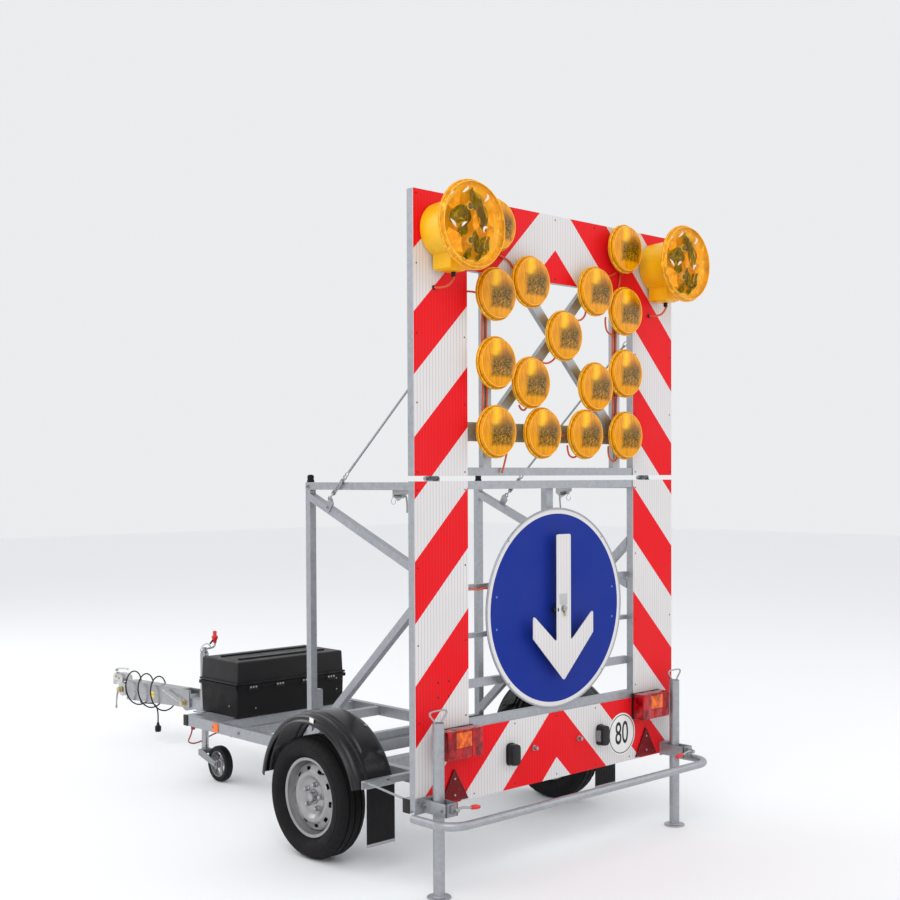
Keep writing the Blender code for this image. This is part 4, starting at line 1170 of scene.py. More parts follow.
def tail_light(side):
    """Red lens with an amber middle and bulging lower cells, on a black base with a clear red top edge."""
    name = f"tail_light_{SIDES[side]}"
    low, high = 0.545, 0.668
    inner, outer = 0.535, 0.74
    cell_z = low + 0.046
    middle_in, middle_out, back = 0.5985, 0.6875, -0.0122
    base = block(side_pair(side, inner, outer), (-0.001, -0.012), (low, high), 0.003)
    piece(f"{name}_base", "chassis", "black", [base], [name])
    shell = [
        block(side_pair(side, inner + 0.001, middle_in), (-0.072, back), (low + 0.001, high - 0.001), 0.006),
        block(side_pair(side, middle_out, outer - 0.001), (-0.072, back), (low + 0.001, high - 0.001), 0.006),
        block(side_pair(side, middle_in, middle_out), (-0.07, back), (low + 0.001, cell_z), 0.004),
        block(side_pair(side, middle_in, middle_out), (-0.0715, back), (high - 0.01, high - 0.001), 0.003),
    ]
    piece(f"{name}_red", "chassis", "red_lens", shell)
    amber = [
        block(side_pair(side, 0.599, 0.687), (-0.0712, back), (cell_z + 0.0005, high - 0.0105), 0.005)
    ]
    piece(f"{name}_amber", "chassis", "orange_lens", amber)
    lamps = []
    for x, z in ((0.567, low + 0.03), (0.64, low + 0.024), (0.713, low + 0.03)):
        bulge = [(0, -0.0745), (0.01, -0.0738), (0.017, -0.0715), (0.019, -0.068), (0, -0.068)]
        lamps.append(turned(bulge, (side * x, 0, z), "Y", 28))
    piece(f"{name}_bulges", "chassis", "red_lens", lamps)
    ribs = []
    for step in range(6):
        x = 0.696 + step * 0.0075
        ribs.append(
            block(
                side_pair(side, x - 0.0012, x + 0.0012), (-0.0732, -0.0715), (low + 0.01, high - 0.01),
                0.0004,
            )
        )
    piece(f"{name}_ribs", "chassis", "red_lens", ribs)


def reflector(side):
    """Triangular rear reflector with a raised border and two screws."""
    middle = side * 0.64
    low, height, half = 0.357, 0.132, 0.08
    outline = [
        (middle - half, low), (middle + half, low), (middle + 0.004, low + height),
        (middle - 0.004, low + height),
    ]
    plate = prism(outline, -0.008, -0.0008, "Y", 0.0016)
    facets = []
    rows = 9
    for row in range(rows):
        z = low + 0.012 + row * (height - 0.034) / rows
        reach = half * (1 - (z - low) / height) - 0.013
        if reach > 0.006:
            facets.append(
                block(around(middle, reach), (-0.0092, -0.0074), (z, z + 0.0075), 0.0012)
            )
    piece(f"reflector_{SIDES[side]}", "chassis", "dark_red", [plate] + facets)
    corners = [
        Vector((x, -0.0084, z))
        for x, z in ((middle - half + 0.006, low + 0.004), (middle + half - 0.006, low + 0.004))
    ]
    corners.append(Vector((middle, -0.0084, low + height - 0.007)))
    border = []
    for first, second in zip(corners, corners[1:] + corners[:1]):
        border.append(sweep([first, second], 0.0017, 8))
    piece(f"reflector_{SIDES[side]}_border", "chassis", "deep_red", border)
    heads = [screw((middle, -0.0092, low + z), "Y", 0.005, 0.0026) for z in (0.026, 0.094)]
    piece(f"reflector_{SIDES[side]}_screws", "chassis", "bright_zinc", heads)


def plate_light(side):
    """Black number plate light with a rounded hood, whose clear lens faces the plate."""
    name = f"plate_light_{SIDES[side]}"
    x, z = side * 0.3, 0.503
    half_x, half_z = 0.026, 0.047
    outline = eased(
        [
            (x - half_x, z - half_z), (x + half_x, z - half_z), (x + half_x, z + half_z),
            (x - half_x, z + half_z),
        ],
        0.027, 8,
    )
    hood = prism(outline, -0.043, -0.0004, "Y", 0.012)
    foot = [(x + (px - x) * 1.06, z + (pz - z) * 1.05) for px, pz in outline]
    base = prism(foot, -0.009, -0.0003, "Y", 0.003)
    piece(name, "chassis", "black", [hood, base])
    inside = -side
    face = x + inside * 0.025
    lens_x = tuple(sorted((face, face + inside * 0.0075)))
    clear = block(lens_x, (-0.031, -0.004), around(z, 0.026), 0.004)
    piece(f"{name}_lens", "chassis", "clear_lens", [clear])


def plate_studs():
    shapes = []
    for x in (-0.15, 0.15):
        shapes.append(disc(0.0125, -0.005, -0.0003, (x, 0, 0.508), "Y", 32, 0.0015))
        shapes.append(disc(0.0085, -0.024, -0.004, (x, 0, 0.508), "Y", 28, 0.003))
    piece("plate_studs", "chassis", "bright_zinc", shapes)


def speed_disc():
    """Round white disc with a thin black ring and generic digits."""
    centre = (0.46, 0, 0.484)
    plate = disc(0.1, -0.0018, -0.0004, centre, "Y", 72, 0.0005)
    piece("speed_disc", "chassis", "white", [plate])
    border = ring(0.0885, 0.0925, -0.0023, -0.0016, centre, "Y", 72)
    curve = bpy.data.curves.new("digits", "FONT")
    curve.body = "80"
    curve.size = 0.15
    curve.align_x = "CENTER"
    curve.align_y = "CENTER"
    curve.extrude = 0.0003
    curve.offset = 0.001
    holder = bpy.data.objects.new("digits", curve)
    digits = bmesh.new()
    digits.from_mesh(holder.to_mesh())
    bpy.data.objects.remove(holder)
    narrow = Matrix.Diagonal((0.66, 1.0, 1.0, 1.0))
    stand = Matrix.Rotation(math.pi / 2, 4, "X")
    digits.transform(Matrix.Translation((centre[0], -0.002, centre[2])) @ stand @ narrow)
    piece("speed_digits", "chassis", "black", [border, digits])


# ---------------------------------------------------------------- rear support


def bumper():
    """Round rear bar with bent corners, and the brackets and screw blocks of the support legs."""
    bend, reach, back, z = 0.1, 0.87, -0.225, 0.325
    path = [(-reach, -0.0042)]
    path += arc((-reach + bend, back + bend), bend, 180, 270, 14)
    path += arc((reach - bend, back + bend), bend, 270, 360, 14)
    path += [(reach, -0.0042)]
    tube = sweep([(x, y, z) for x, y in path], 0.0176, 28)
    piece("bumper_tube", "chassis", "galvanised", [tube], ["bumper_bar"])
    for side in SIDES:
        name = SIDES[side]
        plate_z = (CLAMP_Z - 0.034, CLAMP_Z + 0.02)
        shapes = [
            block(side_pair(side, 0.752, 0.862), (-0.007, -0.0006), (0.338, 0.404)),
            block(side_pair(side, 0.7535, 0.7605), (CLAMP_Y, -0.004), plate_z),
            block(side_pair(side, 0.8115, 0.8185), (CLAMP_Y, -0.004), plate_z),
            block(side_pair(side, 0.7535, 0.8185), (CLAMP_Y, CLAMP_Y + 0.007), plate_z),
        ]
        piece(f"leg_bracket_{name}", "chassis", "galvanised", shapes)
        nuts = [
            block(
                side_pair(side, 0.771, 0.801), (CLAMP_Y - 0.0158, CLAMP_Y),
                around(CLAMP_Z, 0.016), 0.002,
            )
        ]
        for y in (-0.018, -0.118):
            nuts += bolt((side * 0.8185, y, CLAMP_Z - 0.004), "X", 0.014, 0.008, side)
        for x in (0.765, 0.845):
            nuts += bolt((side * x, -0.007, 0.394), "Y", 0.011, 0.006)
        piece(f"leg_bracket_{name}_bolts", "chassis", "bright_zinc", nuts)


def support_leg(side):
    """Leg tube with its round foot plate and a bent wire loop to lift it by."""
    name = f"support_leg_{SIDES[side]}"
    x, y, top, radius = side * LEG_X, LEG_Y, 0.713, 0.024
    wall = [
        (radius, 0.004), (radius, top - 0.0012), (radius - 0.0012, top), (radius - 0.003, top),
        (radius - 0.003, 0.004),
    ]
    centre = (x, y, 0)
    lid = [(0, top - 0.004), (radius - 0.003, top - 0.004), (radius - 0.003, top - 0.007), (0, top - 0.007)]
    foot = [
        (0, 0), (0.0485, 0), (0.05, 0.0015), (0.05, 0.0045), (0.0485, 0.006), (0.0275, 0.006),
        (0.0245, 0.0095), (0, 0.0095),
    ]
    shapes = [turned(wall, centre, "Z", 40), turned(lid, centre, "Z", 40), turned(foot, centre, "Z", 48)]
    piece(f"{name}_tube", f"leg_{SIDES[side]}", "galvanised", shapes, [name])
    half_loop = [(0.018, top - 0.022), (0.019, top + 0.001), (0.028, top + 0.014), (0.044, top + 0.032)]
    half_loop += [(0.046, top + 0.041), (0.038, top + 0.048)]
    path = [(x - reach, y, z) for reach, z in half_loop] + [(x, y, top + 0.05)]
    path += [(x + reach, y, z) for reach, z in reversed(half_loop)]
    loop = wire(path, 4, 0.004, 12)
    piece(f"{name}_loop", f"leg_{SIDES[side]}", "bright_zinc", [loop])


def clamp_handle(side):
    """Clamping screw with a spring washer and its side lever, gripped in red plastic."""
    name = f"clamp_handle_{SIDES[side]}"
    body = f"clamp_{SIDES[side]}"
    foot = CLAMP_Y - 0.0163
    centre = Vector((side * LEG_X, foot, CLAMP_Z))
    arm_y = foot - 0.012
    hub = [
        disc(0.0125, -0.003, 0, centre, "Y", 28),
        hexagon(0.0175, -0.01, -0.003, centre, "Y", 0.4),
        disc(0.0095, -0.0215, -0.01, centre, "Y", 24, 0.002),
    ]
    start = Vector((centre.x, arm_y, CLAMP_Z))
    elbow = start + Vector((-side * 0.078, 0, -0.004))
    lever = sweep(smooth_path([start, start.lerp(elbow, 0.4) + Vector((0, 0, 0.006)), elbow], 5), 0.005, 14)
    piece(f"{name}_screw", body, "bright_zinc", hub + [lever], [name])
    path = smooth_path(
        [elbow, elbow + Vector((-side * 0.026, 0, -0.002)), elbow + Vector((-side * 0.052, 0, -0.006))], 6,
    )
    count = len(path) - 1
    sizes = [
        0.0068 + 0.0034 * math.sin(math.pi * min(step / count * 0.9 + 0.12, 1.0))
        for step in range(count + 1)
    ]
    sizes[0], sizes[-1] = 0.006, 0.0045
    piece(f"{name}_grip", body, "red_grip", [sweep(path, sizes, 18)])


# ---------------------------------------------------------------- running gear


def tyre(side):
    """Tyre with three grooves round its tread, shoulder blocks, and rings on its sidewalls."""
    name = SIDES[side]
    inner, outer = TYRE_X
    bead_in, bead_out = 0.7498, 0.8352
    wall = [
        (0.1683, bead_in), (0.1815, bead_in), (0.19, inner + 0.018), (0.196, inner + 0.0105),
        (0.1975, inner + 0.0085),
        (0.206, inner + 0.0035), (0.208, inner + 0.002), (0.2215, inner), (0.236, inner),
        (0.2375, inner + 0.0022),
        (0.248, inner + 0.0044), (0.25, inner + 0.0044), (0.257, inner + 0.0095),
    ]
    crown = [(0.264, inner + 0.0165, 1), (0.269, inner + 0.024, 1), (0.2722, inner + 0.033, 1)]
    half = (outer - inner) / 2
    for offset in (-0.034, 0.0, 0.034):
        near, far = inner + half + offset - 0.004, inner + half + offset + 0.004
        crown += [(0.2745, near, 0), (0.2675, near + 0.001, 0), (0.2675, far - 0.001, 0), (0.2745, far, 0)]
    mirror = [(radius, inner + outer - x, cut) for radius, x, cut in crown[2::-1]]
    profile = [(radius, x, 0) for radius, x in wall] + crown + mirror
    profile += [(radius, inner + outer - x, 0) for radius, x in reversed(wall[1:])]
    profile.append((0.1683, bead_out, 0))
    steps = 168
    shape = bmesh.new()
    rings = []
    for step in range(steps):
        turn = math.tau * step / steps
        notch = 0.0035 if step % 4 == 0 else 0.0
        points = []
        for radius, x, cut in profile:
            reach = radius - notch * cut
            points.append(shape.verts.new(on_circle(side * x, WHEEL_Y, TYRE_RADIUS, reach, turn)))
        rings.append(points)
    skin(shape, rings + rings[:1], True)
    bmesh.ops.recalc_face_normals(shape, faces=shape.faces)
    piece(f"tyre_{name}_casing", f"wheel_{name}", "tyre", [shape], [f"tyre_{name}"])


def pressed_disc(side, stations, steps, hole_rows, hole_every, hole_wide):
    """A pressed wheel disc through (radius, x) stations, with a ring of ventilation holes left open."""
    shape = bmesh.new()
    rings = []
    for radius, x in stations:
        points = [on_circle(side * x, WHEEL_Y, TYRE_RADIUS, radius, turn) for turn in spaced_turns(steps)]
        rings.append([shape.verts.new(point) for point in points])
    for row, (first, second) in enumerate(zip(rings, rings[1:])):
        for step in range(steps):
            if row in hole_rows and step % hole_every < hole_wide:
                continue
            following = (step + 1) % steps
            shape.faces.new((first[step], first[following], second[following], second[step]))
    bmesh.ops.recalc_face_normals(shape, faces=shape.faces)
    bmesh.ops.solidify(shape, geom=shape.faces, thickness=0.0028)
    return shape


def rim(side):
    name = SIDES[side]
    body = f"wheel_{name}"
    centre = (0, WHEEL_Y, TYRE_RADIUS)
    lip = 0.1795
    barrel = [
        (lip, 0.744), (lip + 0.0002, 0.7465), (lip - 0.002, 0.7485), (0.168, 0.749), (0.166, 0.756),
        (0.162, 0.762),
        (0.156, 0.766), (0.1545, 0.79), (0.16, 0.8), (0.1665, 0.812), (0.168, 0.835), (lip - 0.004, 0.8355),
        (lip - 0.001, 0.837), (lip, 0.8395), (lip - 0.0015, 0.841), (lip - 0.006, 0.8402), (0.1655, 0.838),
        (0.164, 0.816),
        (0.1565, 0.802), (0.1515, 0.792), (0.1515, 0.764), (0.16, 0.756), (0.164, 0.746), (0.17, 0.744),
    ]
    stations = [
        (0.153, 0.796), (0.151, 0.806), (0.145, 0.813), (0.137, 0.818), (0.1215, 0.8225), (0.116, 0.8285),
        (0.109, 0.832), (0.1, 0.831), (0.092, 0.825), (0.084, 0.817), (0.076, 0.812), (0.062, 0.81),
        (0.047, 0.81), (0.04, 0.811), (0.032, 0.811),
    ]
    turned_barrel = turned(sided(barrel, side), centre, "X", 112)
    front = pressed_disc(side, stations, 120, (3,), 12, 4)
    piece(f"rim_{name}_barrel", body, "wheel", [turned_barrel, front], [f"rim_{name}"])
    drum = [(0.025, 0.705), (0.09, 0.705), (0.09, 0.76), (0.084, 0.784), (0.06, 0.79), (0.025, 0.79)]
    piece(f"hub_{name}_drum", body, "dull_zinc", [turned(sided(drum, side), centre, "X", 64)])
    backing = [(0.092, 0.772), (0.1505, 0.772), (0.1505, 0.776), (0.092, 0.776)]
    dark = turned(sided(backing, side), centre, "X", 64)
    piece(f"hub_{name}_backing", body, "rubber", [dark])
    cap = [
        (0, 0.839), (0.012, 0.8385), (0.019, 0.8355), (0.0225, 0.8275), (0.024, 0.8135), (0.029, 0.8125),
        (0.029, 0.8085), (0, 0.8085),
    ]
    fittings = [turned(sided(cap, side), centre, "X", 48)]
    for turn in spaced_turns(5, 0.5):
        place = on_circle(0, WHEEL_Y, TYRE_RADIUS, 0.056, turn)
        cone = [(0, 0.8315), (0.0055, 0.8315), (0.0075, 0.8295), (0.008, 0.8175), (0.0125, 0.811), (0, 0.811)]
        fittings.append(turned(sided(cone, side), place, "X", 18))
        fittings.append(hexagon(0.019, *sorted((side * 0.8145, side * 0.829)), place, "X", turn))
    piece(f"hub_{name}_nuts", body, "bright_zinc", fittings)
    valve = on_circle(0, WHEEL_Y, TYRE_RADIUS, 0.144, 2.2)
    stem_profile = [(0, 0.833), (0.004, 0.833), (0.0045, 0.815), (0.0065, 0.807), (0, 0.807)]
    stem = turned(sided(stem_profile, side), valve, "X", 14)
    piece(f"valve_{name}", body, "rubber", [stem])


def fender(side):
    """Moulded mudguard: an arch with a raised middle panel, a turned-down outer skirt and a bead along it."""
    name = f"fender_{SIDES[side]}"
    start, end, steps = 8, 165, 78
    near, far = FENDER_X
    across = [
        (near, -0.0085), (near + 0.004, -0.0035), (near + 0.012, -0.001), (near + 0.03, 0),
        (near + 0.036, 0.007),
        (near + 0.08, 0.0085), (near + 0.128, 0.007), (near + 0.136, 0), (near + 0.148, 0),
        (near + 0.153, -0.003),
        (near + 0.158, 0), (far - 0.038, -0.001), (far - 0.022, -0.005), (far - 0.012, -0.012),
        (far - 0.008, -0.021),
        (far - 0.0085, -0.027), (far - 0.005, -0.031), (far - 0.0008, -0.035), (far - 0.0004, -0.042),
        (far - 0.0035, -0.045),
    ]
    shape = bmesh.new()
    rows = []
    for step in range(steps + 1):
        angle = start + (end - start) * step / steps
        turn = math.radians(angle)
        raised = min(max((angle - 22) / 4, 0), max((146 - angle) / 4, 0), 1.0)
        row = []
        for x, offset in across:
            lift = offset if offset <= 0 else offset * raised
            radius = FENDER_RADIUS - 0.006 + lift
            row.append(shape.verts.new(on_circle(side * x, FENDER_Y, FENDER_Z, radius, turn)))
        rows.append(row)
    skin(shape, rows)
    bmesh.ops.recalc_face_normals(shape, faces=shape.faces)
    outward = sum(face.normal.z * face.calc_area() for face in shape.faces)
    if outward < 0:
        bmesh.ops.reverse_faces(shape, faces=shape.faces)
    bmesh.ops.solidify(shape, geom=shape.faces, thickness=0.003)
    piece(f"{name}_arch", "chassis", "fender", [shape], [name])
    flap_x = side_pair(side, 0.672, 0.828)
    flap = [block(flap_x, (0.3392, 0.3438), (0.128, 0.4), 0.0015)]
    for step in range(12):
        x = 0.68 + step * 0.0127
        flap.append(block(side_pair(side, x, x + 0.004), (0.3382, 0.3396), (0.145, 0.385), 0.0005))
    piece(f"{name}_flap", "chassis", "flap", flap)
    strip = [block(flap_x, (0.338, 0.3444), (0.1255, 0.139), 0.0006)]
    strip += [screw((side * x, 0.3378, 0.1325), "Y", 0.004, 0.002) for x in (0.69, 0.75, 0.81)]
    strip.append(block(flap_x, (0.336, 0.3392), (0.378, 0.398), 0.0006))
    piece(f"{name}_flap_strip", "chassis", "bright_zinc", strip)
    turn = math.radians(96)
    radius = FENDER_RADIUS - 0.027
    label = block((-0.015, 0.015), (-0.0004, 0.0004), (-0.011, 0.011), 0.0001)
    label.transform(Matrix.Rotation(math.pi / 2, 4, "Z"))
    place = on_circle(side * (far - 0.004), FENDER_Y, FENDER_Z, radius, turn)
    label.transform(Matrix.Translation(place) @ Matrix.Rotation(turn - math.pi / 2, 4, "X"))
    piece(f"{name}_label", "chassis", "white", [label])
    bolts = []
    for angle in (60, 90, 120):
        turn = math.radians(angle)
        radius = FENDER_RADIUS - 0.004
        place = on_circle(side * (near + 0.018), FENDER_Y, FENDER_Z, radius, turn)
        head = turned(
            [(0.0085, 0), (0.0085, 0.001), (0.005, 0.0035), (0, 0.0042), (0, 0)], (0, 0, 0), "Z", 18,
        )
        head.transform(Matrix.Translation(place) @ Matrix.Rotation(turn - math.pi / 2, 4, "X"))
        bolts.append(head)
    piece(f"{name}_bolts", "chassis", "bright_zinc", bolts)


# ---------------------------------------------------------------- tool box


def hollow_box(x, y, z, wall, round_by, open_top, taper):
    """A thin-walled tray, open at its top or its bottom, with rounded corners and sides that lean inwards."""
    shape = bmesh.new()
    low, high = Vector((-x, y[0], z[0])), Vector((x, y[1], z[1]))
    middle = (low + high) / 2
    bmesh.ops.create_cube(
        shape, size=1, matrix=Matrix.Translation(middle) @ Matrix.Diagonal((*(high - low), 1)),
    )
    edge_z = z[1] if open_top else z[0]
    gone = [face for face in shape.faces if all(abs(vert.co.z - edge_z) < 1e-6 for vert in face.verts)]
    for vert in shape.verts:
        if abs(vert.co.z - edge_z) > 1e-6:
            vert.co.x += taper * (middle.x - vert.co.x)
            vert.co.y += taper * (middle.y - vert.co.y)
    bmesh.ops.delete(shape, geom=gone, context="FACES")
    edges = [edge for edge in shape.edges if not edge.is_boundary]
    bmesh.ops.bevel(shape, geom=edges, offset=round_by, segments=4, profile=0.6, affect="EDGES")
    bmesh.ops.recalc_face_normals(shape, faces=shape.faces)
    bmesh.ops.solidify(shape, geom=shape.faces, thickness=wall)
    return shape


def rim_band(x, y, z, width):
    """Four strips that make the collar round the edge of a tray."""
    out, round_by = 0.0075, 0.003
    return [
        block((-x - out, x + out), (y[0] - out, y[0] + width), z, round_by),
        block((-x - out, x + out), (y[1] - width, y[1] + out), z, round_by),
        block((-x - out, -x + width), (y[0] - out, y[1] + out), z, round_by),
        block((x - width, x + out), (y[0] - out, y[1] + out), z, round_by),
    ]


def tool_box():
    """Moulded box and lid, with hinge leaves, latches, ribs and screws."""
    x, y, z = BOX_X, BOX_Y, BOX_Z
    shapes = [hollow_box(x, y, (z[0], z[1] - 0.002), 0.004, 0.014, True, 0.014)]
    shapes += rim_band(x, y, (z[1] - 0.02, z[1]), 0.002)
    piece("tool_box_body", "chassis", "box", shapes, ["tool_box"])
    lid_x, low, high = x - 0.004, *LID_Z
    shapes = [hollow_box(lid_x, y, (low + 0.002, high - 0.003), 0.004, 0.01, False, 0.016)]
    shapes += rim_band(lid_x, y, (low, low + 0.012), 0.002)
    for middle in (2.095, 2.271):
        outline = eased(
            [
                (-lid_x + 0.07, middle - 0.013), (lid_x - 0.07, middle - 0.013),
                (lid_x - 0.07, middle + 0.013), (-lid_x + 0.07, middle + 0.013),
            ],
            0.012,
        )
        shapes.append(prism(outline, high - 0.006, high + 0.0055, "Z", 0.004))
    piece("tool_box_cover", "box_lid", "box_lid", shapes, ["tool_box_lid"])
    leaves, lid_leaves, rivets = [], [], []
    for middle in (-0.27, -0.09, 0.09, 0.27):
        leaves.append(
            block(around(middle, 0.03), (y[0] - 0.0098, y[0] - 0.0065), (z[1] - 0.03, z[1] - 0.003), 0.001)
        )
        lid_leaves.append(
            block(around(middle, 0.03), (y[0] - 0.0098, y[0] - 0.0065), (low + 0.001, low + 0.014), 0.001)
        )
        for offset in (-0.018, 0.0, 0.018):
            rivets.append(screw((middle + offset, y[0] - 0.0098, z[1] - 0.012), "Y", 0.0058, 0.0026))
    piece("tool_box_hinges", "chassis", "black", leaves)
    piece("tool_box_lid_hinges", "box_lid", "black", lid_leaves)
    for middle, height in ((0.315, 0.48), (0.315, 0.545)):
        rivets.append(screw((middle, y[0] - 0.0002, height), "Y", 0.0045, 0.0022))
    rivets += [
        screw((-x - 0.0002, 2.08, 0.455), "X", 0.0045, 0.0022),
        screw((-0.25, y[0] - 0.0002, 0.44), "Y", 0.004, 0.002),
    ]
    piece("tool_box_rivets", "chassis", "bright_zinc", rivets)
    for side in SIDES:
        middle = side * 0.2
        catch = block(
            around(middle, 0.022), (y[1] + 0.0076, y[1] + 0.0145), (z[1] - 0.05, z[1] + 0.018), 0.004,
        )
        grip = block(around(middle, 0.016), (y[1] + 0.014, y[1] + 0.019), (z[1] - 0.046, z[1] - 0.01), 0.002)
        piece(f"tool_box_latch_{SIDES[side]}", "chassis", "black", [catch, grip])


# ---------------------------------------------------------------- mast and guy ropes


def mast_fittings(side):
    """Rubber buffer, bolts, latch lever, spring clip and end cap of a mast frame."""
    name = SIDES[side]
    middle = side * (MAST_X[0] + MAST_X[1]) / 2
    buffer = [
        (0, MAST_TOP + 0.0004), (0.017, MAST_TOP + 0.0004), (0.0185, MAST_TOP + 0.004),
        (0.015, MAST_TOP + 0.016),
    ]
    buffer += [
        (0.0165, MAST_TOP + 0.026), (0.014, MAST_TOP + 0.034), (0.006, MAST_TOP + 0.037),
        (0, MAST_TOP + 0.037),
    ]
    piece(
        f"mast_buffer_{name}", "chassis", "rubber", [turned(buffer, (middle, 1.07, 0), "Z", 32)],
    )
    outer = side * MAST_X[1]
    zinc = bolt((outer, 1.07, MAST_TOP - 0.02), "X", 0.015, 0.008, side)
    zinc += bolt((outer, 0.066, MAST_TOP - 0.018), "X", 0.015, 0.008, side)
    zinc += bolt((outer + side * 0.005, 0.913, 1.57), "X", 0.011, 0.006, side)
    inner = side * MAST_X[0]
    for y in (0.4, 0.47):
        zinc += bolt((inner, y, MAST_TOP - 0.018), "X", 0.011, 0.006, -side)
    latch = [
        (0.385, MAST_TOP - 0.031), (0.49, MAST_TOP - 0.031), (0.49, MAST_TOP - 0.06),
        (0.455, MAST_TOP - 0.085), (0.385, MAST_TOP - 0.05),
    ]
    zinc.append(prism(latch, *side_pair(side, MAST_X[0] - 0.004, MAST_X[0] - 0.0004), "X", 0.0008))
    pin_y, pin_z = 0.44, MAST_TOP - 0.062
    zinc.append(
        disc(
            0.0065, *side_pair(side, MAST_X[0] - 0.03, MAST_X[1] + 0.004), (0, pin_y, pin_z), "X", 20,
            0.0015,
        )
    )
    grip = [(middle - side * 0.044, pin_y, pin_z), (middle - side * 0.052, pin_y - 0.004, pin_z - 0.004)]
    grip += [
        (middle - side * 0.054, pin_y - 0.008, pin_z - 0.04),
        (middle - side * 0.052, pin_y - 0.01, pin_z - 0.075),
    ]
    zinc.append(wire(grip, 5, 0.0042, 12))
    piece(f"mast_latch_{name}", "chassis", "bright_zinc", zinc)
    spring = [
        coil((middle - side * 0.0215, pin_y, pin_z), (middle - side * 0.04, pin_y, pin_z), 0.0088, 0.0011, 6)
    ]
    clip = arc((pin_y, pin_z - 0.022), 0.014, -200, 70, 16)
    spring.append(sweep([(outer + side * 0.0022, y, z) for y, z in clip], 0.0012, 8))
    piece(f"mast_spring_{name}", "chassis", "dull_zinc", spring)
    caps = [
        block(
            around(middle, 0.0165), (POST_Y[1] + 0.0002, POST_Y[1] + 0.0022),
            (MAST_TOP - 0.034, MAST_TOP - 0.001), 0.0008,
        )
    ]
    piece(f"mast_cap_{name}", "chassis", "black", caps)


def guy_rope(side):
    """Wire rope from the mast's eye to the board, with thimbles, clamps and a turnbuckle."""
    name = SIDES[side]
    low, high = rope_ends(side)
    along = (high - low).normalized()
    across = Vector((0, along.z, -along.y)).normalized()
    rope = [sweep([low + along * 0.19, low.lerp(high, 0.6), high - along * 0.03], 0.0056, 12)]
    for foot, way in ((low + along * 0.19, -1), (high - along * 0.046, 1)):
        tip = foot + along * way * 0.044
        loop = [
            foot + across * 0.0026, foot + across * 0.009 + along * way * 0.018,
            tip + across * 0.006 - along * way * 0.006, tip,
        ]
        loop += [
            tip - across * 0.006 - along * way * 0.006, foot - across * 0.009 + along * way * 0.018,
            foot - across * 0.0026,
        ]
        rope.append(wire(loop, 4, 0.0021, 10))
    rope_piece = piece(f"guy_rope_{name}_run", "chassis", "rope", rope, [f"guy_rope_{name}"])
    fittings = []
    for share in (0.194, 0.214, 0.234):
        fittings.append(sweep([low + along * share, low + along * (share + 0.011)], 0.0062, 12))
    for share in (0.058, 0.078):
        fittings.append(sweep([high - along * share, high - along * (share + 0.011)], 0.0062, 12))
    start, end = low + along * 0.044, low + along * 0.128
    for offset in (-0.0075, 0.0075):
        fittings.append(sweep([start + across * offset, end + across * offset], 0.0032, 10))
    for place in (start, end):
        fittings.append(sweep([place - along * 0.006, place + along * 0.006], 0.0105, 16))
    fittings.append(sweep([low + along * 0.012, start + along * 0.026], 0.0036, 12))
    fittings.append(sweep([end - along * 0.026, end + along * 0.016], 0.0036, 12))
    for place in (low + along * 0.006, end + along * 0.026):
        eye = [place + 0.0105 * (math.cos(t) * along + math.sin(t) * across) for t in spaced_turns(18)]
        fittings.append(sweep(eye, 0.0026, 8, True))
    turnbuckle = piece(f"guy_rope_{name}_turnbuckle", "chassis", "bright_zinc", fittings)
    for thing in (rope_piece, turnbuckle):
        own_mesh(thing)
    eyes = [
        turned(
            [(0.0045, -0.003), (0.0085, -0.003), (0.0085, 0.003), (0.0045, 0.003)],
            (high.x, BACK_Y + 0.003, high.z + 0.004), "X", 20,
        )
    ]
    eyes.append(
        block(
            around(high.x, 0.014), (BACK_Y, BACK_Y + 0.003), (high.z - 0.018, high.z + 0.026),
            0.001,
        )
    )
    piece(f"board_eye_{name}", "upper_board", "dull_zinc", eyes)


def rope_ends(side):
    return Vector((side * 0.5925, 0.89, 1.608)), Vector((side * 0.5675, BACK_Y + 0.006, 2.36))


# ---------------------------------------------------------------- drawbar and coupling


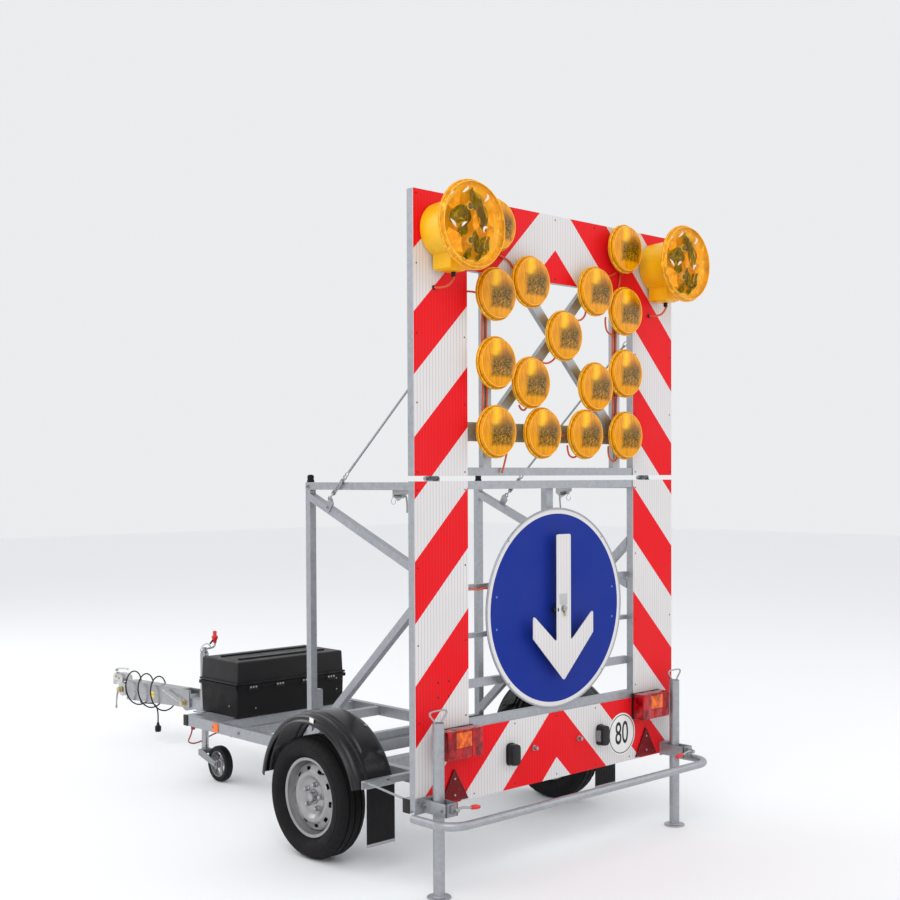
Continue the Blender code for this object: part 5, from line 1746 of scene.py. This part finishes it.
def drawbar():
    """Folded steel beam with its fork, front eye, seam, labels and cable gland."""
    outline = [(3.128, 0.2769), (3.8, 0.2392), (3.8, 0.3678), (3.128, 0.3895)]
    shapes = [prism(outline, -BEAM_HALF, BEAM_HALF, "X", 0.011)]
    for side in SIDES:
        fork = [(3.02, 0.283), (3.16, 0.2752), (3.16, 0.3885), (3.02, 0.393)]
        shapes.append(prism(fork, *side_pair(side, 0.0305, 0.0447), "X", 0.004))
        shapes.append(
            prism(
                [(3.3, 0.3185), (3.78, 0.299), (3.78, 0.305), (3.3, 0.3245)],
                *side_pair(side, 0.0442, 0.0462), "X", 0.0008,
            )
        )
    shapes.append(block((-0.0246, 0.0246), (3.786, 3.87), (0.262, 0.338), 0.004))
    shapes.append(disc(BEAM_HALF, -0.0246, 0.0246, FRONT_JOINT, "X", 56, 0.002))
    piece("drawbar_body", "drawbar", "bright_zinc", shapes, ["drawbar_beam"])
    gland = hexagon(0.02, BEAM_HALF, 0.052, (0, GLAND_Y, GLAND_Z), "X", 0.1)
    collar = disc(0.0088, 0.05, 0.0596, (0, GLAND_Y, GLAND_Z), "X", 28, 0.002)
    piece("drawbar_gland", "drawbar", "black", [gland, collar])
    label = [block((-0.0456, -BEAM_HALF), (3.438, 3.478), (0.296, 0.334), 0.0003)]
    piece("drawbar_label", "drawbar", "yellow_label", label)
    mark = [block((-0.0456, -BEAM_HALF), (3.5, 3.552), (0.304, 0.322), 0.0003)]
    piece("drawbar_mark", "drawbar", "grey", mark)
    bolts = [
        disc(0.022, BEAM_HALF, 0.0476, REAR_JOINT, "X", 32, 0.0008),
        hexagon(0.03, 0.0476, 0.059, REAR_JOINT, "X", 0.3),
    ]
    piece("drawbar_bolt", "drawbar", "yellow_zinc", bolts)


def coupling():
    """Ball coupling: a pressed head with a domed cup, cheeks round the drawbar's eye, and its handle."""
    y, z = FRONT_JOINT.y, FRONT_JOINT.z
    inner, outer = 0.0253, 0.04
    profile = [
        (y - 0.012, z + 0.052), (3.96, z + 0.052), (3.975, z + 0.06), (3.975, z + 0.09), (3.96, z + 0.098),
        (y + 0.02, z + 0.098), (y - 0.012, z + 0.084),
    ]
    shapes = [prism(profile, -outer + 0.001, outer - 0.001, "X", 0.007)]
    for side in SIDES:
        shapes.append(disc(0.0458, *side_pair(side, inner, outer), FRONT_JOINT, "X", 56, 0.0025))
        web = [(y - 0.01, z), (y + 0.04, z + 0.01), (y + 0.046, z + 0.06), (y - 0.01, z + 0.06)]
        shapes.append(prism(web, *side_pair(side, inner + 0.001, outer - 0.001), "X", 0.003))
    cup = [
        (0.0255, z + 0.02), (0.034, z + 0.02), (0.0358, z + 0.022), (0.0358, z + 0.0262), (0.0342, z + 0.029),
        (0.0342, z + 0.062), (0.032, z + 0.08), (0.025, z + 0.092), (0.014, z + 0.0985), (0, z + 0.0998),
        (0, z + 0.08), (0.015, z + 0.077), (0.023, z + 0.068), (0.0255, z + 0.052),
    ]
    shapes.append(turned(cup, (0, 3.984, 0), "Z", 64))
    piece("coupling_body", "coupling", "chrome", shapes, ["coupling_head"])
    bolts = []
    for place in ((3.905, z + 0.07), (3.945, z + 0.078)):
        for side in SIDES:
            bolts += bolt((side * (outer - 0.001), *place), "X", 0.012, 0.006, side)
    bolts.append(disc(0.018, outer, outer + 0.003, FRONT_JOINT, "X", 32, 0.0008))
    bolts.append(hexagon(0.026, outer + 0.003, outer + 0.0135, FRONT_JOINT, "X", 0.1))
    piece("coupling_bolts", "coupling", "yellow_zinc", bolts)
    side_line = [
        (4.0, z + 0.102), (4.003, z + 0.111), (3.994, z + 0.119), (3.97, z + 0.125), (3.93, z + 0.129),
        (3.885, z + 0.133), (3.85, z + 0.133),
    ]
    path = smooth_path([(0, a, b) for a, b in side_line], 5)
    lift = bmesh.new()
    thick = 0.0048
    section = [
        (-1, -0.3), (-0.8, 0.55), (-0.35, 1), (0.35, 1), (0.8, 0.55), (1, -0.3), (0.7, -0.9), (-0.7, -0.9),
    ]
    rows = []
    for index, point in enumerate(path):
        share = index / (len(path) - 1)
        if share < 0.9:
            half = 0.012 + 0.0048 * math.sin(math.pi * min(share * 1.2, 1.0))
        else:
            half = 0.012 + 0.02 * (1 - share) * 0.5
        before, after = path[max(index - 1, 0)], path[min(index + 1, len(path) - 1)]
        up = (after - before).cross(Vector((1, 0, 0))).normalized()
        if up.z < 0:
            up = -up
        rows.append([lift.verts.new(point + Vector((half * a, 0, 0)) + up * thick * b) for a, b in section])
    skin(lift, rows, True)
    lift.faces.new(rows[0])
    lift.faces.new(rows[-1])
    bmesh.ops.recalc_face_normals(lift, faces=lift.faces)
    piece("coupling_lift", "coupling_handle", "chrome", [lift], ["coupling_handle"], 1)


def joint_lever(name, joint, reach):
    """Clamping nut of a drawbar joint: serrated washers, a hexagon and a tapered lever."""
    near = -0.0453
    washers = [
        disc(0.0215, near - 0.0045, near, joint, "X", 48, 0.0008),
        disc(0.018, near - 0.0085, near - 0.0045, joint, "X", 32, 0.0008),
        hexagon(0.03, near - 0.025, near - 0.0085, joint, "X", 0.2),
    ]
    teeth = []
    for turn in spaced_turns(24):
        place = joint + Vector((0, 0.0212 * math.cos(turn), 0.0212 * math.sin(turn)))
        teeth.append(disc(0.0015, near - 0.004, near - 0.0006, place, "X", 8, 0.0003))
    piece(f"{name}_nut", name, "yellow_zinc", washers + teeth, [name])
    start = joint + Vector((near - 0.018, 0, 0))
    path = smooth_path(
        [
            start, start + reach * 0.3 + Vector((-0.005, 0, 0)),
            start + reach * 0.65 + Vector((-0.004, 0, 0)), start + reach,
        ],
        6,
    )
    last = len(path) - 1
    sizes = [0.0072 - 0.0026 * min(step / last * 1.3, 1) for step in range(last + 1)]
    sizes[-4:] = [0.006, 0.0074, 0.0072, 0.004]
    piece(f"{name}_arm", name, "bright_zinc", [sweep(path, sizes, 20)])


# ---------------------------------------------------------------- jockey wheel


def jockey():
    x, y = JOCKEY_X, JOCKEY_Y
    centre = (x, y, 0)
    top, bottom, pivot = JOCKEY_TOP, 0.318, JOCKEY_PIVOT_Z
    outer, bore, inner = 0.024, 0.0207, 0.0199
    shell = [
        (0, top - 0.006), (bore, top - 0.006), (bore, bottom), (outer - 0.001, bottom),
        (outer, bottom + 0.001),
        (outer, top - 0.004), (outer - 0.001, top - 0.001), (outer - 0.004, top), (0, top),
    ]
    shapes = [turned(shell, centre, "Z", 56)]
    for z in (0.352, 0.69):
        shapes.append(ring(outer, outer + 0.001, z, z + 0.006, centre, "Z", 56))
    piece(
        "jockey_outer_tube_shell", "chassis", "bright_zinc", shapes,
        ["jockey_outer_tube"],
    )
    sleeve = [ring(outer + 0.0012, outer + 0.0052, 0.3865, 0.396, centre, "Z", 48)]
    screw_y = y + 0.034
    sleeve.append(hexagon(0.02, screw_y, screw_y + 0.008, (x, 0, 0.366), "Y", 0.2))
    sleeve.append(disc(0.006, screw_y, screw_y + 0.03, (x, 0, 0.366), "Y", 20))
    sleeve.append(sweep([(x - 0.04, screw_y + 0.024, 0.372), (x + 0.04, screw_y + 0.024, 0.36)], 0.0038, 12))
    piece("jockey_clamp", "chassis", "bright_zinc", sleeve)
    rod = [
        (0, pivot), (inner - 0.001, pivot), (inner, pivot + 0.001), (inner, 0.559), (inner - 0.001, 0.56),
        (0, 0.56),
    ]
    shapes = [turned(rod, centre, "Z", 48), ring(inner, inner + 0.0006, 0.176, 0.182, centre, "Z", 48)]
    piece(
        "jockey_inner_tube_rod", "jockey_tube", "bright_zinc", shapes,
        ["jockey_inner_tube"],
    )
    jockey_fork()
    jockey_wheel()
    jockey_crank()


def jockey_fork():
    x, y, pivot = JOCKEY_X, JOCKEY_Y, JOCKEY_PIVOT_Z
    centre = (x, y, 0)
    head = disc(0.0205, pivot - 0.03, pivot - 0.0006, centre, "Z", 40, 0.002)
    wheel_y, wheel_z = JOCKEY_WHEEL_Y, JOCKEY_WHEEL_RADIUS
    blade = [(y + 0.016, 0.127), (y + 0.018, 0.134), (y + 0.018, 0.154), (y + 0.014, 0.16), (y - 0.034, 0.16)]
    blade += [
        (wheel_y + 0.012, wheel_z + 0.0185), (wheel_y - 0.004, wheel_z + 0.0205),
        (wheel_y - 0.016, wheel_z + 0.014),
    ]
    blade += [(wheel_y - 0.02, wheel_z), (wheel_y - 0.016, wheel_z - 0.014), (wheel_y, wheel_z - 0.019)]
    shapes = [
        head, block(around(x, 0.0355), (y - 0.024, y + 0.018), (pivot - 0.03, pivot - 0.009), 0.004),
    ]
    shapes.append(block(around(x, 0.0355), (y + 0.0145, y + 0.018), (0.128, pivot - 0.012), 0.003))
    for low in (x - 0.0362, x + 0.0312):
        shapes.append(prism(blade, low, low + 0.005, "X", 0.0016))
    axle_centre = (0, wheel_y, wheel_z)
    shapes.append(disc(0.0058, x - 0.04, x + 0.04, axle_centre, "X", 20))
    for side in SIDES:
        shapes.append(hexagon(0.019, *sorted((x + side * 0.0362, x + side * 0.044)), axle_centre, "X", 0.4))
    shapes.append(disc(0.005, y + 0.018, y + 0.033, (x, 0, 0.1435), "Y", 20))
    shapes.append(disc(0.0082, y + 0.032, y + 0.039, (x, 0, 0.1435), "Y", 24))
    piece("jockey_fork_frame", "jockey_fork", "dull_zinc", shapes, ["jockey_fork"])


def jockey_wheel():
    """Solid rubber tread on a pressed rim with five spokes."""
    centre = (JOCKEY_X, JOCKEY_WHEEL_Y, JOCKEY_WHEEL_RADIUS)
    radius = JOCKEY_WHEEL_RADIUS
    tread = [
        (0.0715, -0.0205), (0.0735, -0.0218), (radius - 0.01, -0.0225), (radius - 0.004, -0.0205),
        (radius - 0.0005, -0.0125),
        (radius, -0.006), (radius, 0.006), (radius - 0.0005, 0.0125), (radius - 0.004, 0.0205),
        (radius - 0.01, 0.0225),
        (0.0735, 0.0218), (0.0715, 0.0205),
    ]
    piece(
        "jockey_wheel_tread", "jockey_wheel", "rubber", [turned(tread, centre, "X", 80)],
        ["jockey_wheel"],
    )
    rim = [
        (0.0722, -0.019), (0.0708, -0.0205), (0.069, -0.0195), (0.067, -0.012), (0.064, -0.003),
        (0.064, 0.003),
        (0.067, 0.012), (0.069, 0.0195), (0.0708, 0.0205), (0.0722, 0.019), (0.0722, 0.0),
    ]
    shapes = [turned(rim, centre, "X", 72)]
    hub = [
        (0.0068, -0.0265), (0.0175, -0.0265), (0.019, -0.025), (0.02, -0.008), (0.027, -0.004),
        (0.027, 0.004),
    ]
    hub += [(0.02, 0.008), (0.019, 0.025), (0.0175, 0.0265), (0.0068, 0.0265)]
    shapes.append(turned(hub, centre, "X", 40))
    for turn in spaced_turns(5, 0.3):
        spoke = prism(
            [(-0.01, 0.023), (0.01, 0.023), (0.0075, 0.0655), (-0.0075, 0.0655)], -0.0065, 0.0065, "X",
            0.0025,
        )
        spoke.transform(Matrix.Translation(centre) @ Matrix.Rotation(turn, 4, "X"))
        shapes.append(spoke)
    piece("jockey_wheel_rim", "jockey_wheel", "wheel", shapes)


def jockey_crank():
    """Spindle collar, bent arm, red grip with a rounded knob, and the wire latch beside it."""
    x, y, top = JOCKEY_X, JOCKEY_Y, JOCKEY_TOP
    centre = (x, y, 0)
    spindle = [
        (0, top + 0.0006), (0.0195, top + 0.0006), (0.0205, top + 0.003), (0.019, top + 0.01),
        (0.0125, top + 0.014), (0.0118, top + 0.029), (0.01, top + 0.031), (0, top + 0.031),
    ]
    zinc = [turned(spindle, centre, "Z", 40)]
    reach = x + 0.07
    bend = smooth_path(
        [
            (x, y, top + 0.02), (x + 0.03, y, top + 0.022), (reach - 0.012, y, top + 0.026),
            (reach, y, top + 0.04), (reach, y, top + 0.06),
        ],
        5,
    )
    zinc.append(sweep(bend, 0.0056, 14))
    loop = [
        (x - 0.022, y - 0.004, top + 0.004), (x - 0.03, y - 0.006, top + 0.02),
        (x - 0.01, y - 0.006, top + 0.044), (x + 0.016, y - 0.006, top + 0.05),
        (x + 0.036, y - 0.004, top + 0.034), (x + 0.04, y, top + 0.024),
    ]
    zinc.append(wire(loop, 5, 0.0022, 10))
    piece("jockey_crank_arm", "jockey_crank", "bright_zinc", zinc, ["jockey_crank"])
    arm = sweep(
        smooth_path(
            [
                (x + 0.04, y + 0.004, top + 0.046), (reach + 0.004, y + 0.009, top + 0.08),
                (reach + 0.002, y + 0.01, top + 0.112),
            ],
            5,
        ),
        0.0052, 12,
    )
    piece("jockey_crank_strap", "jockey_crank", "black", [arm])
    grip = [
        (0, 0.05), (0.0085, 0.05), (0.0105, 0.054), (0.0115, 0.064), (0.0165, 0.074), (0.0185, 0.081),
        (0.0175, 0.088),
        (0.012, 0.0925), (0.01, 0.098), (0.0115, 0.106), (0.011, 0.115), (0.008, 0.119), (0, 0.1195),
    ]
    grip_shape = turned([(r, top + h) for r, h in grip], (reach, y, 0), "Z", 36)
    piece("jockey_crank_grip", "jockey_crank", "red_grip", [grip_shape])


# ---------------------------------------------------------------- chassis trims and wiring


def chassis_trims():
    """Black end caps of the cross tubes, rail reflectors, frame bolts, stub post and the brake cable."""
    caps = []
    for side in SIDES:
        caps.append(
            block(
                side_pair(side, RAIL_X[1] + 0.0002, RAIL_X[1] + 0.0045), (2.294, 2.336), (0.334, 0.393),
                0.0015,
            )
        )
        caps.append(
            block(
                side_pair(side, RAIL_X[1] - 0.004, RAIL_X[1] + 0.004), (2.2935, 2.3365), (0.3335, 0.3935),
                0.0012,
            )
        )
        caps.append(block(side_pair(side, 0.849, 0.8535), (0.039, 0.0802), (0.334, 0.393), 0.0015))
    piece("frame_caps", "chassis", "black", caps)
    reflectors = []
    for side in SIDES:
        reflectors.append(
            block(
                side_pair(side, RAIL_X[1] + 0.0003, RAIL_X[1] + 0.0045), (1.99, 2.042), (0.34, 0.386),
                0.0015,
            )
        )
    piece("rail_reflectors", "chassis", "orange_reflector", reflectors)
    bolts = []
    for side in SIDES:
        for y in (0.1, 0.37, 1.025, 1.8, 2.04):
            bolts += bolt((side * RAIL_X[1], y, 0.364), "X", 0.013, 0.007, side)
        for y in (1.9, 2.24):
            bolts += bolt((side * 0.48, y, 0.335), "Z", 0.013, 0.007, -1)
        for x in (0.58, 0.72):
            bolts += bolt((side * x, 0.3265, 0.402), "Y", 0.011, 0.006, -1)
    for y in (2.86, 1.84):
        bolts += bolt((-0.03, y, 0.306), "X", 0.015, 0.008, -1)
        bolts += bolt((0.03, y, 0.306), "X", 0.015, 0.008, 1)
    piece("frame_bolts", "chassis", "bright_zinc", bolts)
    stub = [block((-0.56, -0.511), (1.054, 1.086), (0.4275, 0.685), 0.002)]
    stub.append(block((-0.558, -0.513), (1.056, 1.084), (0.685, 0.688), 0.001))
    piece("mast_socket", "chassis", "galvanised", stub)
    cable_run = [(-0.432, 2.352, 0.322), (-0.424, 2.385, 0.268), (-0.412, 2.43, 0.225), (-0.385, 2.47, 0.2)]
    cable_run += [(-0.345, 2.486, 0.186), (-0.3, 2.488, 0.19), (-0.262, 2.47, 0.212), (-0.235, 2.43, 0.236)]
    cable_run += [(-0.205, 2.385, 0.256), (-0.165, 2.34, 0.298), (-0.15, 2.318, 0.33)]
    cable_run = [Vector(point) for point in cable_run]
    red = [wire(cable_run, 6, 0.0042, 12)]
    red.append(disc(0.012, 0.296, 0.33, (-0.432, 2.352, 0), "Z", 24, 0.004))
    piece("brake_cable", "chassis", "red_wire", red)
    lamp_cable = [
        (-0.64, 0.05, 0.6), (-0.64, 0.06, 0.48), (-0.63, 0.064, 0.4), (-0.56, 0.095, 0.345),
        (-0.515, 0.2, 0.35),
    ]
    lamp_cable += [(-0.48, 0.26, 0.328), (-0.44, 0.34, 0.33)]
    piece("rear_cable", "chassis", "red_wire", [wire(lamp_cable, 6, 0.0028, 10)])


def lamp_wiring():
    """Wires along the board's uprights, short runs between lamps, and a run to each beacon."""
    shapes, grommets = [], []
    for side in SIDES:
        x = side * LAMP_COLUMN_X
        for offset in (-0.034, -0.008):
            run = [
                (x + offset, 0.0002, 1.96), (x + offset + 0.003, -0.001, 2.12), (x + offset, 0.0002, 2.28),
                (x + offset + 0.002, -0.001, 2.47),
            ]
            shapes.append(wire(run, 8, 0.0044, 10))
        x = side * BEACON_X
        start_z = BEACON_Z - 0.17
        gland = (x + 0.02, -0.06, start_z)
        path = [gland, (x + 0.02, -0.062, start_z - 0.024), (x + 0.002, -0.05, start_z - 0.054)]
        path += [(x - 0.022, -0.022, start_z - 0.064), (x - 0.036, -0.005, start_z - 0.062)]
        shapes.append(wire(path, 7, 0.0048, 10))
        grommets.append(disc(0.009, -0.007, -0.0004, (x - 0.036, 0, start_z - 0.062), "Y", 24, 0.002))
        grommets.append(disc(0.01, start_z - 0.02, start_z + 0.002, (gland[0], gland[1], 0), "Z", 24, 0.002))
    # Short wires that show between the lamps, as (x, z) along the board's face.
    runs = (
        ((-0.4, 2.664), (-0.361, 2.655), (-0.321, 2.644), (-0.296, 2.631), (-0.276, 2.606)),
        ((-0.556, 2.484), (-0.522, 2.485), (-0.48, 2.482)),
        ((0.31, 2.632), (0.338, 2.64), (0.375, 2.646), (0.41, 2.662)),
        ((0.452, 2.67), (0.445, 2.634), (0.437, 2.6), (0.428, 2.56)),
        ((0.34, 2.45), (0.338, 2.427), (0.345, 2.395), (0.363, 2.377), (0.4, 2.368)),
        ((0.372, 2.11), (0.381, 2.088), (0.404, 2.079), (0.424, 2.084)),
        ((0.11, 2.432), (0.129, 2.42), (0.165, 2.423), (0.193, 2.446), (0.2, 2.47)),
        ((-0.11, 2.226), (-0.09, 2.213), (-0.053, 2.215), (-0.016, 2.235), (-0.008, 2.26)),
        ((-0.338, 2.47), (-0.322, 2.456), (-0.3, 2.452), (-0.282, 2.462)),
        ((-0.245, 2.02), (-0.232, 2.004), (-0.212, 2.0), (-0.196, 2.012)),
        ((0.07, 1.85), (0.074, 1.826), (0.084, 1.806), (0.106, 1.796), (0.13, 1.8), (0.15, 1.814)),
        ((0.358, 1.85), (0.358, 1.82), (0.368, 1.794), (0.395, 1.779), (0.419, 1.793), (0.424, 1.816)),
        ((-0.3, 1.88), (-0.316, 1.83), (-0.334, 1.774), (-0.352, 1.726)),
        ((-0.03, 1.896), (0.02, 1.892), (0.06, 1.896)), ((0.262, 1.892), (0.3, 1.888), (0.33, 1.892)),
    )
    for run in runs:
        shapes.append(sweep(smooth_path([(x, -0.0065, z) for x, z in run], 6), 0.0044, 10))
    piece("lamp_wires", "upper_board", "orange_wire", shapes)
    piece("lamp_grommets", "upper_board", "black", grommets)
    tie_z = 1.233
    tie = [
        (-0.535, 0.02, tie_z + 0.006), (-0.505, 0.016, tie_z + 0.003), (-0.478, 0.015, tie_z - 0.004),
        (-0.44, 0.018, tie_z), (-0.405, 0.022, tie_z + 0.004),
    ]
    lower = [wire(tie, 6, 0.004, 10)]
    tail = [(-0.44, 0.024, tie_z - 0.004), (-0.425, 0.026, tie_z - 0.002), (-0.402, 0.026, tie_z - 0.006)]
    lower.append(wire(tail, 6, 0.003, 10))
    piece("lower_wires", "chassis", "orange_wire", lower)


def hinge_pins():
    """Hinge pins of the folding board, with a nut at each end."""
    pins = []
    for side in SIDES:
        x = side * 0.7
        pins.append(disc(0.006, x - 0.036, x + 0.036, (0, FOLD_Y, FOLD_Z), "X", 24))
        for way in (-1, 1):
            pins.append(
                hexagon(0.018, *sorted((x + way * 0.0305, x + way * 0.0385)), (0, FOLD_Y, FOLD_Z), "X", 0.3)
            )
    piece("hinge_pins", "chassis", "bright_zinc", pins)


# ---------------------------------------------------------------- whole


def build():
    camera()
    make_looks()
    cable()
    studio()
    sign()
    arrow()
    boards()
    arrow_lamps()
    lamp_wiring()
    hinge_pins()
    plate_studs()
    speed_disc()
    bumper()
    for side in SIDES:
        beacon(side)
        tail_light(side)
        reflector(side)
        plate_light(side)
        support_leg(side)
        clamp_handle(side)
        tyre(side)
        rim(side)
        fender(side)
        mast_fittings(side)
        guy_rope(side)
    tool_box()
    drawbar()
    coupling()
    joint_lever("drawbar_lever_rear", REAR_JOINT, Vector((-0.012, 0.205, 0.062)))
    joint_lever("drawbar_lever_front", FRONT_JOINT, Vector((-0.01, 0.01, -0.125)))
    jockey()
    chassis_trims()


build()
